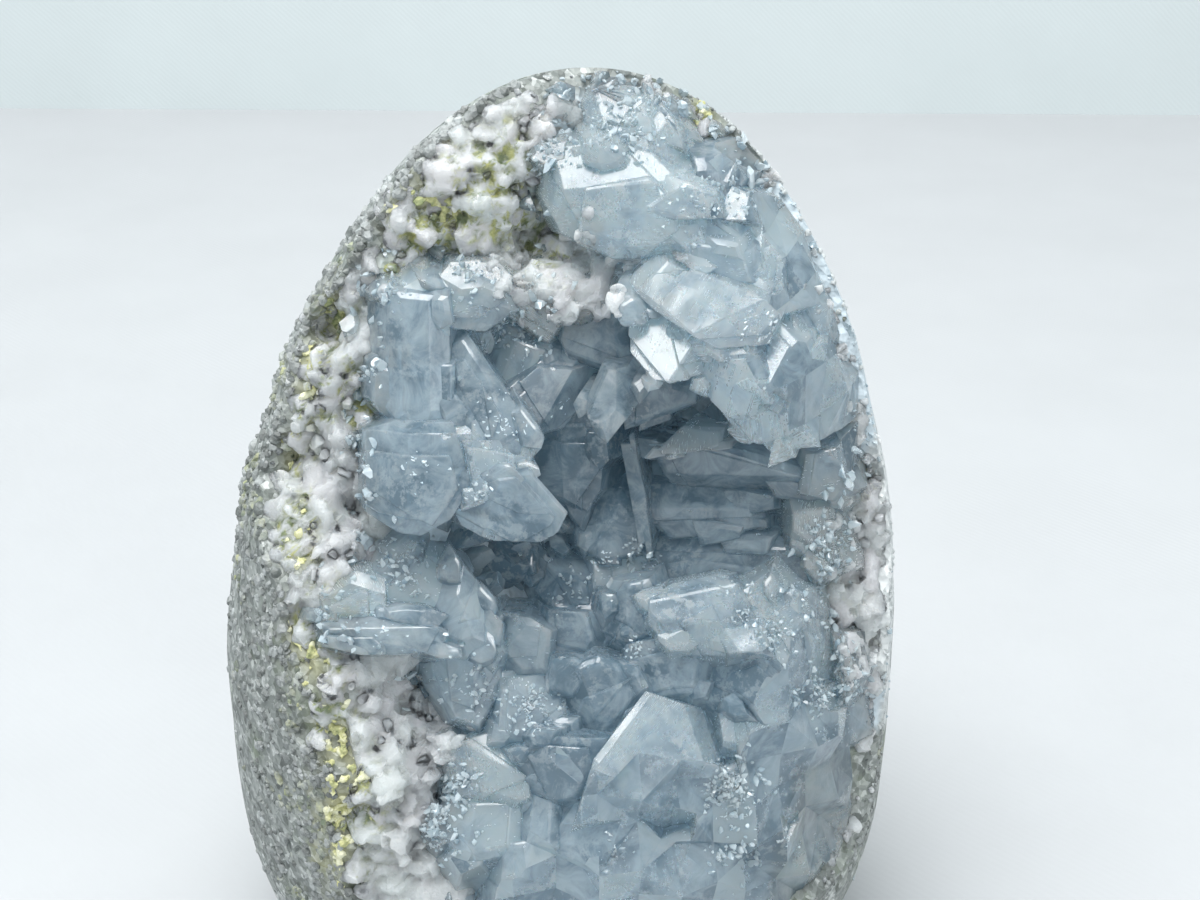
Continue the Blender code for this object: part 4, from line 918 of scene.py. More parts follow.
@dataclass(frozen=True)
class GroundRockFinish:
    """Marly host rock ground to an egg, and its broken sugary inner wall.

    Its grains of 0.4 to 1.2 mm show grey, white and dark, with mossy clouds and ochre
    stains; within a few millimetres of the hollow it turns to the pale sugary band.
    """

    grain_mm: float = 0.95
    speck_mm: float = 0.55
    cloud_mm: float = 9.0
    bend_mm: float = 1.4
    greys: tuple = ((0.0, "#434846"), (0.22, "#686E6B"), (0.5, "#838986"), (0.75, "#9EA3A0"), (0.93, "#C8CCCA"))
    sugars: tuple = ((0.0, "#A3A8A8"), (0.3, "#C6CBCB"), (0.7, "#DFE3E3"), (1.0, "#F1F3F2"))
    moss: str = "#7C8A6C"
    ochre: str = "#B5B283"
    root_stone: str = "#C6D3DA"
    roughness: float = 0.52
    ior: float = 1.55

    def material(self) -> bpy.types.Material:
        """Builds the material, which reads the depth under the skin and the clay's place."""
        mix = Recipe("ground_marl_and_sugary_wall", "ground")
        depth, clay, crust = mix.numbers
        bend = mix.add("TexNoise", out="Color", Vector=mix.place, Scale=per_metre(self.bend_mm), Detail=2.0)
        bent = mix.add("VectorMath", bend, (0.0008,) * 3, mix.place, operation="MULTIPLY_ADD")
        grains, specks = (mix.add("TexVoronoi", out="Color", Vector=bent, Scale=per_metre(size))
                          for size in (self.grain_mm, self.speck_mm))
        pick, fleck = (mix.add("SeparateColor", colour).node.outputs for colour in (grains, specks))
        blend = mix.add("Mix", 0.4, at={2: pick[0], 3: fleck[0]}, data_type="FLOAT")
        grey = mix.add("ValToRGB", blend, stops=self.greys)
        cloud = mix.add("TexNoise", out="Fac", Vector=mix.place, Scale=per_metre(self.cloud_mm), Detail=5.0,
                        Roughness=0.6)
        mossy = mix.add("Math", mix.add("MapRange", cloud, 0.5, 0.72, 0.0, 0.75), pick[1], operation="MULTIPLY")
        rock = mix.add("Mix", out=2, at={0: mossy, 6: grey, 7: self.moss}, data_type="RGBA")
        sugar = mix.add("ValToRGB", blend, stops=self.sugars)
        inward = mix.add("Math", depth, mix.add("MapRange", cloud, 0.3, 0.7, -0.2, 0.2))
        inward = mix.add("MapRange", inward, 0.22, 0.42, 0.0, 1.0, interpolation_type="SMOOTHSTEP")
        body = mix.add("Mix", out=2, at={0: inward, 6: rock, 7: sugar}, data_type="RGBA")
        rooted = mix.add("Math", crust, mix.add("MapRange", depth, 0.15, 0.3, 0.0, 1.0), operation="MULTIPLY")
        body = mix.add("Mix", out=2, at={0: rooted, 6: body, 7: self.root_stone}, data_type="RGBA")
        stain = mix.add("Math", clay, 0.85, operation="MULTIPLY", use_clamp=True)
        body = mix.add("Mix", out=2, at={0: stain, 6: body, 7: self.ochre}, data_type="RGBA")
        bump = mix.add("Bump", Height=grains.node.outputs["Distance"],
                       Strength=mix.add("MapRange", depth, 0.0, 0.2, 0.25, 1.0), Distance=0.00035)
        shine = mix.add("MapRange", fleck[1], 0.0, 1.0, self.roughness - 0.16, self.roughness + 0.2)
        mix.feed(mix.shader, {"Base Color": body, "Roughness": shine, "Normal": bump, "IOR": self.ior})
        return mix.material


@dataclass(frozen=True)
class ClayFinish:
    """Weathered green-yellow clay left in the pockets: dry, powdery, without shine."""

    olive: str = "#7F8C66"
    yellow: str = "#C9C893"
    pale: str = "#E3E3C6"
    roughness: float = 0.9
    cloud_mm: float = 0.9
    grit_mm: float = 0.3

    def material(self) -> bpy.types.Material:
        """Builds the material, which reads each crumb's tint."""
        mix = Recipe("dry_clay", "tint")
        cloud = mix.add("TexNoise", out="Fac", Vector=mix.place, Scale=per_metre(self.cloud_mm), Detail=5.0,
                        Roughness=0.7)
        shade = mix.add("Math", mix.numbers[0], mix.add("MapRange", cloud, 0.3, 0.7, -0.3, 0.3), use_clamp=True)
        colour = mix.add("ValToRGB", shade, stops=((0.0, self.olive), (0.6, self.yellow), (1.0, self.pale)))
        grit = mix.add("TexNoise", out="Fac", Vector=mix.place, Scale=per_metre(self.grit_mm), Detail=4.0)
        bump = mix.add("Bump", Height=grit, Strength=0.8, Distance=0.0002)
        mix.feed(mix.shader, {"Base Color": colour, "Roughness": self.roughness, "Normal": bump})
        return mix.material


@dataclass(frozen=True)
class ClothFinish:
    """White cotton twill pulled flat: matt, with a faint weave drawn at its real 0.75 mm."""

    name: str
    colour: str
    thread_mm: float = 0.75
    slub_mm: float = 30.0
    dimming: float = 0.965

    def material(self) -> bpy.types.Material:
        """Builds the material."""
        mix = Recipe(self.name)
        weave = mix.add("TexWave", out="Fac", Vector=mix.place, Scale=0.314 * per_metre(self.thread_mm),
                        Distortion=1.5, Detail=2.0, bands_direction="DIAGONAL")
        slub = mix.add("TexNoise", out="Fac", Vector=mix.place, Scale=per_metre(self.slub_mm), Detail=4.0)
        plain = linear(self.colour)
        dim = tuple(c * self.dimming for c in plain[:3]) + (1.0,)
        colour = mix.add("ValToRGB", slub, stops=((0.3, dim), (0.7, plain)))
        bump = mix.add("Bump", Height=weave, Strength=0.12, Distance=0.0001)
        mix.feed(mix.shader, {"Base Color": colour, "Roughness": 0.9, "Normal": bump, "Specular IOR Level": 0.2})
        return mix.material


# ---------------------------------------------------------------- grains, stamped many times

@dataclass
class Stamp:
    """Small shapes modelled once and pressed many times into one mesh."""

    name: str
    variants: list[tuple[np.ndarray, list[tuple[int, ...]]]] = field(default_factory=list)
    points: list[np.ndarray] = field(default_factory=list)
    faces: list[tuple[int, ...]] = field(default_factory=list)
    tints: list[np.ndarray] = field(default_factory=list)
    count: int = 0
    facet: float = 2.0
    facet_tilt: float = 0.34

    def learn(self, item: bpy.types.Object) -> None:
        """Takes a modelled shape as a variant and removes its object."""
        points = np.array([vert.co[:] for vert in item.data.vertices])
        self.variants.append((points, [tuple(face.vertices) for face in item.data.polygons]))
        bpy.data.objects.remove(item, do_unlink=True)

    def learn_grains(self, number: int, seed: int, cuts: int, flat: float = 1.0, levels: int = 1) -> None:
        """Models chipped grains about 1 mm across.

        Args:
            number: How many variants.
            seed: Seed of their cuts.
            cuts: Facets broken off each.
            flat: Height against width.
            levels: Subdivisions of the ball that is cut.
        """
        chooser = random.Random(seed)
        for _ in range(number):
            item = primitive(bpy.ops.mesh.primitive_ico_sphere_add, subdivisions=levels, radius=0.56)
            bpy.ops.object.mode_set(mode="EDIT")
            for _ in range(cuts):
                way = Vector([chooser.gauss(0.0, 1.0) for _ in range(3)]).normalized()
                bpy.ops.mesh.select_all(action="SELECT")
                bpy.ops.mesh.bisect(plane_co=way * chooser.uniform(0.28, 0.44), plane_no=way, use_fill=True,
                                    clear_outer=True)
            face_outward()
            item.data.transform(Matrix.Diagonal((1.0, 1.0, flat, 1.0)))
            self.learn(item)

    def press(self, variant: int, place: Matrix, tint: tuple[float, float, float],
              limit: Callable[[Vector], Vector] | None = None) -> None:
        """Adds one copy.

        Args:
            variant: Which shape.
            place: Its place, turn and scale in millimetres.
            tint: Three numbers for the material.
            limit: Moves a point that would stand too far out.
        """
        shape, faces = self.variants[variant % len(self.variants)]
        turn = np.array(place.to_3x3())
        points = shape @ turn.T + np.array(place.translation)
        if limit:
            points = np.array([limit(Vector(point)) for point in points])
        self.points.append(points)
        self.faces.extend(tuple(i + self.count for i in face) for face in faces)
        self.tints.append(np.tile((*tint, 1.0), (len(points), 1)))
        self.count += len(points)

    def fuse(self, voxel: float, relax: int) -> None:
        """Fuses what is pressed so far to one skin, coated with moss in its crevices, with painted shade that darkens
        the crevices and lightens the ridges.

        Args:
            voxel: Size of the remesh in millimetres.
            relax: Rounds of smoothing, which also blend the copies' tints.
        """
        tints, first = np.concatenate(self.tints), [face[0] for face in self.faces]
        item = self.solid()
        tree = BVHTree.FromPolygons([vert.co for vert in item.data.vertices], self.faces)
        modify(item, "REMESH", mode="VOXEL", voxel_size=voxel, adaptivity=0.1)
        modify(item, "SMOOTH", iterations=relax)
        mesh = item.data
        own = np.array([tints[first[tree.find_nearest(vert.co)[2]]] for vert in mesh.vertices])
        moved = []
        for vert in mesh.vertices:
            middle = noise.voronoi(vert.co / self.facet)[1][0] * self.facet
            slope = noise.cell_vector(middle * 7.0) * 2.0 - Vector((1.0, 1.0, 1.0))
            moved.append(vert.co + vert.normal * self.facet_tilt * (vert.co - middle).dot(slope))
        for vert, spot in zip(mesh.vertices, moved):
            vert.co = held_in(spot, 0.3)
        mesh.update()
        points = np.array([vert.co[:] for vert in mesh.vertices])
        normals = np.array([vert.normal[:] for vert in mesh.vertices])
        edges = np.array([edge.vertices[:] for edge in mesh.edges])
        ends, others = np.concatenate([edges, edges[:, ::-1]]).T
        shares = np.bincount(ends, minlength=len(points))[:, None]

        def around(values: np.ndarray) -> np.ndarray:
            """Averages the neighbours' values."""
            total = np.zeros_like(values)
            np.add.at(total, ends, values[others])
            return total / np.maximum(shares, 1)

        hollow = ((around(points) - points) * normals).sum(axis=1, keepdims=True) / voxel
        for _ in range(relax):
            own, hollow = around(own), around(hollow)
        own[:, 1] *= np.clip(0.5 + 9.0 * hollow[:, 0], 0.0, 1.5)
        # Painted shade: the shade is lowered in crevices and raised on ridges, by up to 0.15.
        own[:, 0] -= np.clip(1.5 * hollow[:, 0], -0.15, 0.15)
        self.points, self.tints, self.count = [points], [own], len(points)
        self.faces = [tuple(face.vertices) for face in mesh.polygons]
        bpy.data.objects.remove(item, do_unlink=True)

    def solid(self) -> bpy.types.Object:
        """Writes the pressed copies as a bare object in millimetres."""
        mesh = bpy.data.meshes.new(self.name)
        mesh.from_pydata(np.concatenate(self.points).tolist(), [], self.faces)
        item = bpy.data.objects.new(self.name, mesh)
        bpy.context.scene.collection.objects.link(item)
        return item

    def build(self, material: bpy.types.Material, slot: str, layer: str = "tint") -> bpy.types.Object:
        """Writes the pressed copies as one piece.

        Args:
            material: Its finish.
            slot: The name of a material slot; not used.
            layer: The attribute that holds the tints.

        Returns:
            The piece, riding on the one body.
        """
        item = self.solid()
        paint(item.data, layer, "POINT", np.concatenate(self.tints))
        finish_piece(item, self.name, material)
        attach(item, BODY)
        return item


def turned(chooser: random.Random, place: Vector, up: Vector, sizes: tuple[float, float, float]) -> Matrix:
    """Makes the matrix of a copy that stands along a direction at a random turn.

    Args:
        chooser: Source of the turn.
        place: Where the copy's middle goes.
        up: Its own Z.
        sizes: Its scale along its three axes.

    Returns:
        The matrix.
    """
    turn = up.to_track_quat("Z", "Y").to_matrix().to_4x4()
    roll = Matrix.Rotation(chooser.uniform(0.0, 2.0 * math.pi), 4, "Z")
    return Matrix.Translation(place) @ turn @ roll @ Matrix.Diagonal((*sizes, 1.0))


def mesh_tree(item: bpy.types.Object) -> BVHTree:
    """Makes a search tree in millimetres of a finished piece."""
    return BVHTree.FromPolygons([vert.co / MM for vert in item.data.vertices],
                                [tuple(face.vertices) for face in item.data.polygons])


def random_way(chooser: random.Random) -> Vector:
    """A unit vector with no preferred direction."""
    return Vector([chooser.gauss(0.0, 1.0) for _ in range(3)]).normalized()


TIP_ROOM = 0.6


def held_in(point: Vector, proud: float) -> Vector:
    """Keeps a point from standing proud of the ground skin by more than a given amount.

    Args:
        point: A point in millimetres.
        proud: How far it may stand out.

    Returns:
        The point, drawn in where needed.
    """
    under = EGG.below_skin(point)
    if under >= -proud and point.z <= EGG.height - TIP_ROOM:
        return point
    middle = Vector((EGG.shift(point.z), 0.0, min(point.z, EGG.height - TIP_ROOM)))
    way = Vector((point.x - middle.x, point.y - middle.y, 0.0))
    length = max(way.length, 1e-6)
    drawn = middle + way * max(1.0 - (-proud - under) / length, 0.0) if under < -proud else point.copy()
    drawn.z = min(drawn.z, EGG.height - TIP_ROOM)
    return drawn


# ---------------------------------------------------------------- sub-assemblies


@dataclass
class HostRock:
    """The ground rock egg with its broken hollow."""

    segments: int = 250
    rings: int = 150
    wall_cell: float = 0.85
    grind_depth: float = 0.16
    pit_depth: float = 0.5
    weathered_depth: float = 12.0
    stained_depth: float = 2.5
    finish: GroundRockFinish = GroundRockFinish()

    def skin_inset(self, z: float, turn: float) -> float:
        """How far the ground skin lies inside the plain egg at a place."""
        place = Vector((math.cos(turn) * 30.0, math.sin(turn) * 30.0, z))
        soft = 0.5 + 0.5 * noise.noise(place / 6.0)
        pit = smooth_step(0.28, 0.5, noise.noise(place / 1.5 + Vector((9.0, 4.0, 2.0))))
        patch = smooth_step(-0.05, 0.35, noise.noise(place / 9.0 + Vector((2.0, 7.0, 5.0))))
        return self.grind_depth * soft + self.pit_depth * pit * patch

    def shaped_egg(self) -> bpy.types.Object:
        """Models the egg from a sphere whose rings are set to the egg's rule."""
        item = primitive(bpy.ops.mesh.primitive_uv_sphere_add, segments=self.segments, ring_count=self.rings,
                         radius=1.0)
        for vert in item.data.vertices:
            level = math.hypot(vert.co.x, vert.co.y)
            z = EGG.height * 0.5 * (1.0 + vert.co.z)
            if level < 1e-5:
                vert.co = (0.0, 0.0, 0.0) if z < 1.0 else (EGG.apex_shift, 0.0, EGG.height - 0.5)
                continue
            across, deep = vert.co.x / level, vert.co.y / level
            inset = self.skin_inset(z, math.atan2(deep, across)) if z > 0.5 else 0.0
            vert.co = EGG.skin(min(z, EGG.height - 0.1), across, deep, inset)
        return item

    def build(self) -> bpy.types.Object:
        """Builds the rock and replaces the CAD's shell.

        Returns:
            The rock.
        """
        rock = self.shaped_egg()
        carve(rock, WALL.block("hollow", self.wall_cell, 0.0, WALL.rough_out), "DIFFERENCE")
        values = np.ones((len(rock.data.vertices), 4), dtype=np.float32)
        for i, vert in enumerate(rock.data.vertices):
            local = FACE.local(vert.co)
            under = max(EGG.below_skin(vert.co), 0.0)
            sugary = smooth_step(14.0, 22.0, local.x) * smooth_step(-34.0, -26.0, local.y)
            bare = smooth_step(14.0, 20.0, local.x) * smooth_step(-22.0, -30.0, local.y)
            behind = WALL.out(local.x, local.y) - local.z
            wall = 0.5 * sugary * (1.0 - smooth_step(2.0, 7.0, behind))
            values[i, 0] = min(under * (1.0 - 0.8 * bare) / self.weathered_depth + wall, 1.0)
            values[i, 1] = ClayPockets.mask(local.x, local.y) if abs(behind) < self.stained_depth else 0
            values[i, 2] = 1.0 if inside_outline(CRUST_ZONE, local.x, local.y) else 0.0
        paint(rock.data, "ground", "POINT", values)
        finish_piece(rock, "ground_rock", self.finish.material())
        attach(rock, BODY)
        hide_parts("geode_shell")
        return rock


@dataclass
class CrystalCrust:
    """Every large crystal and the small ones between them, grown to one solid."""

    small_count: int = 460
    hollow_count: int = 46
    small_length: tuple[float, float] = (3.2, 8.0)
    small_width: tuple[float, float] = (1.4, 3.6)
    small_foot: float = 1.2
    small_stray: float = 1.2
    most_tries: int = 12000
    open_tries: int = 9000
    open_reach: tuple[float, ...] = (-30.0, 32.0, -54.0, 41.0)
    # Reach of the hollow under the overhanging crystals, whose small crystals are toned deep as painted shade.
    shaded_hollow: tuple[float, ...] = (-18.0, -3.0, -15.0, -6.5)
    edge_wear: float = 0.15
    chip_count: int = 420
    chip_shapes: int = 8
    chip_size: tuple[float, float] = (0.5, 1.9)
    chip_gap: float = 2.4
    chip_angle: float = 18.0
    chip_edge: float = 1.2
    root: float = 1.0
    skin_inset: float = 0.2
    skin_patch: float = 4.0
    skin_break: float = 2.8
    seed: int = 41
    stock: float = 90.0
    finish: CelestiteFinish = CelestiteFinish()

    def dress(self, item: bpy.types.Object, look: tuple[float, float], chance: float, axis: Vector,
              along: Vector) -> None:
        """Stores tone, frosting and growth lines on a crystal that still stands in the face frame.

        Args:
            item: The crystal.
            look: Tone and frosting.
            chance: A number of its own.
            axis: Its growth axis.
            along: Direction of the lines on its front.
        """
        mesh = item.data
        lines = np.ones((len(mesh.loops), 4), dtype=np.float32)
        offset = chance * 97.0
        for face in mesh.polygons:
            run = axis - face.normal * axis.dot(face.normal)
            if run.length < 0.5:
                run = along - face.normal * along.dot(face.normal)
            run.normalize()
            across = face.normal.cross(run)
            for loop in face.loop_indices:
                point = mesh.vertices[mesh.loops[loop].vertex_index].co
                lines[loop, :3] = (point.dot(run) + offset, point.dot(across), offset)
        paint(mesh, "growth", "CORNER", np.tile((*look, chance, 1.0), (len(mesh.loops), 1)))
        paint(mesh, "lines", "CORNER", lines)

    def stand(self, item: bpy.types.Object) -> None:
        """Takes a crystal from the face frame to the world."""
        for vert in item.data.vertices:
            vert.co = FACE.point(*vert.co)

    def large_crystals(self) -> list[bpy.types.Object]:
        """Cuts every large crystal with its terraces."""
        made = []
        for crystal in [grown for crystal in CRYSTALS for grown in (crystal, *crystal.satellites())]:
            chooser = random.Random("look " + crystal.name)
            chance = chooser.random()
            axis = -Vector((crystal.foot[0], crystal.foot[1], -crystal.body_depth)).normalized()
            for centre, planes in crystal.layers():
                item = cut_stock(crystal.name, centre, self.stock, planes)
                if len(item.data.polygons) < 4:
                    bpy.data.objects.remove(item, do_unlink=True)
                    continue
                wear_edges(item, self.edge_wear)
                self.dress(item, crystal.look.value, chance, axis, crystal.grain_direction())
                self.stand(item)
                park(item)
                made.append(item)
        return made

    def small_shapes(self) -> list[bpy.types.Object]:
        """Models the few shapes of the small crystals: prisms with roofed tips, 1 mm long."""
        chooser = random.Random(self.seed)
        shapes = []
        for _ in range(6):
            angle = math.radians(chooser.uniform(46.0, 58.0))
            planes = [(Vector((0.0, 0.0, 0.0)), Vector((0.0, 0.0, -1.0)))]
            for turn in (angle, -angle, math.pi - angle, math.pi + angle):
                way = Vector((math.cos(turn), math.sin(turn), 0.0))
                planes.append((way * chooser.uniform(0.40, 0.55), way))
            for turn in (math.pi / 2.0, -math.pi / 2.0):
                way = Vector((math.cos(turn), math.sin(turn), 0.0))
                planes.append((way * chooser.uniform(0.28, 0.5), way))
            for turn in (0.0, math.pi, math.pi / 2.0, chooser.uniform(0.0, 6.0)):
                tilt = math.radians(chooser.uniform(30.0, 50.0))
                way = Vector((math.cos(turn) * math.sin(tilt), math.sin(turn) * math.sin(tilt), math.cos(tilt)))
                planes.append((Vector((0.0, 0.0, chooser.uniform(0.86, 1.0))), way))
            shape = cut_stock("small_shape", Vector((0.0, 0.0, 0.5)), 4.0, planes)
            wear_edges(shape, 0.03)
            shapes.append(shape)
        return shapes

    @staticmethod
    def hides_large(point: Vector) -> bool:
        """Says whether a small crystal's tip would stand in front of a large crystal's face."""
        return any(point.z > crystal.out - 1.0 and inside_outline(crystal.outline, point.x, point.y)
                   for crystal in CRYSTALS)

    def small_crystals(self) -> list[bpy.types.Object]:
        """Copies the small crystals over the wall between the large ones."""
        chooser = random.Random(self.seed + 1)
        shapes = self.small_shapes()
        looks = (Look.CLEAR, Look.PALE, Look.DEEP, Look.PALE, Look.FROSTED, Look.CLEAR)
        made = []
        tries = 0
        while len(made) < self.small_count + self.hollow_count and tries < self.most_tries:
            tries += 1
            hollow = len(made) >= self.small_count or tries > self.open_tries
            left, right, low, high = self.shaded_hollow if hollow else self.open_reach
            u, v = chooser.uniform(left, right), chooser.uniform(low, high)
            edge = outline_gap(CRUST_ZONE, u, v)
            sway = random_way(chooser) * chooser.uniform(0.1, 0.75)
            share = chooser.random() ** 1.4
            near = smooth_step(0.0, 6.0, edge)
            length = between(self.small_length, share) * (0.55 + 0.45 * near)
            width = between(self.small_width, share) * (0.6 + 0.4 * near)
            axis = (WALL.normal(u, v) + sway).normalized()
            foot = Vector((u, v, WALL.out(u, v) - self.small_foot))
            inside = inside_outline(CRUST_ZONE, u, v)
            if (not inside and edge > self.small_stray) or self.hides_large(foot + axis * length):
                continue
            shape = shapes[chooser.randrange(len(shapes))]
            item = bpy.data.objects.new("small_crystal", shape.data.copy())
            sizes = (width, width * chooser.uniform(0.6, 1.0), length)
            item.data.transform(turned(chooser, foot, axis, sizes))
            item.data.update()
            chance = chooser.random()
            # The small crystals are real, but in the shaded hollow they all take the deep tone: painted shade under the
            # overhang.
            look = Look.DEEP if hollow else looks[chooser.randrange(len(looks))]
            self.dress(item, look.value, chance, axis, axis.orthogonal())
            self.stand(item)
            made.append(item)
        for shape in shapes:
            bpy.data.objects.remove(shape, do_unlink=True)
        return made

    def dress_cutter(self, item: bpy.types.Object, look: tuple[float, float]) -> None:
        """Stores the look that a cutter leaves on the faces it cuts."""
        loops = len(item.data.loops)
        paint(item.data, "growth", "CORNER", np.tile((*look, 0.5, 1.0), (loops, 1)))
        paint(item.data, "lines", "CORNER", np.zeros((loops, 4)))

    def chip_edges(self, crust: bpy.types.Object) -> None:
        """Breaks small chips out of the crystals' outer edges.

        Args:
            crust: The crystals, in the world.
        """
        chooser = random.Random(self.seed + 2)
        stamp = Stamp("chips")
        stamp.learn_grains(self.chip_shapes, self.seed, 5)
        bm = bmesh.new()
        bm.from_mesh(crust.data)
        edges = [edge for edge in bm.edges if edge.calc_length() > self.chip_edge and len(edge.link_faces) == 2
                 and edge.calc_face_angle_signed(0.0) > math.radians(self.chip_angle)]
        chooser.shuffle(edges)
        taken: list[Vector] = []
        for edge in edges:
            spot = edge.verts[0].co.lerp(edge.verts[1].co, chooser.uniform(0.1, 0.9))
            size = between(self.chip_size, chooser.random() ** 2.0)
            if len(taken) >= self.chip_count or any((spot - other).length < self.chip_gap for other in taken):
                continue
            taken.append(spot)
            outward = (edge.link_faces[0].normal + edge.link_faces[1].normal).normalized()
            sizes = (size, size * chooser.uniform(0.7, 1.3), size)
            stamp.press(chooser.randrange(self.chip_shapes),
                        turned(chooser, spot + outward * size * 0.3, random_way(chooser), sizes), (0.0, 0.0, 0.0))
        bm.free()
        chips = stamp.solid()
        self.dress_cutter(chips, Look.FROSTED.value)
        carve(crust, chips, "DIFFERENCE")

    def build(self) -> bpy.types.Object:
        """Builds the crust and replaces the CAD's.

        Returns:
            The crust.
        """
        crust = grow_together(self.large_crystals() + self.small_crystals())
        LOG.info("crystals grown together: %d faces", len(crust.data.polygons))
        self.chip_edges(crust)
        room = WALL.block("room", 2.0, -self.root, WALL.out)
        self.dress_cutter(room, Look.PALE.value)
        carve(crust, room, "INTERSECT")
        skin = HostRock(segments=52, rings=36).shaped_egg()
        breaker = random.Random(self.seed + 6)
        for vert in skin.data.vertices:
            middle = Vector((EGG.shift(vert.co.z), 0.0, 45.0))
            inset = self.skin_inset + self.skin_break * breaker.random() ** 1.5
            vert.co -= (vert.co - middle).normalized() * inset
        self.dress_cutter(skin, Look.FROSTED.value)
        growth = skin.data.attributes["growth"].data
        for face in skin.data.polygons:
            pick = noise.cell(face.center / self.skin_patch) * 0.5 + 0.5
            for loop in face.loop_indices:
                growth[loop].color = (0.15 + 0.85 * pick, (7.0 * pick) % 1.0, (13.0 * pick) % 1.0, 1.0)
        carve(crust, skin, "INTERSECT")
        finish_piece(crust, "celestite_crystals", self.finish.material())
        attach(crust, BODY)
        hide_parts("crystal_crust")
        return crust


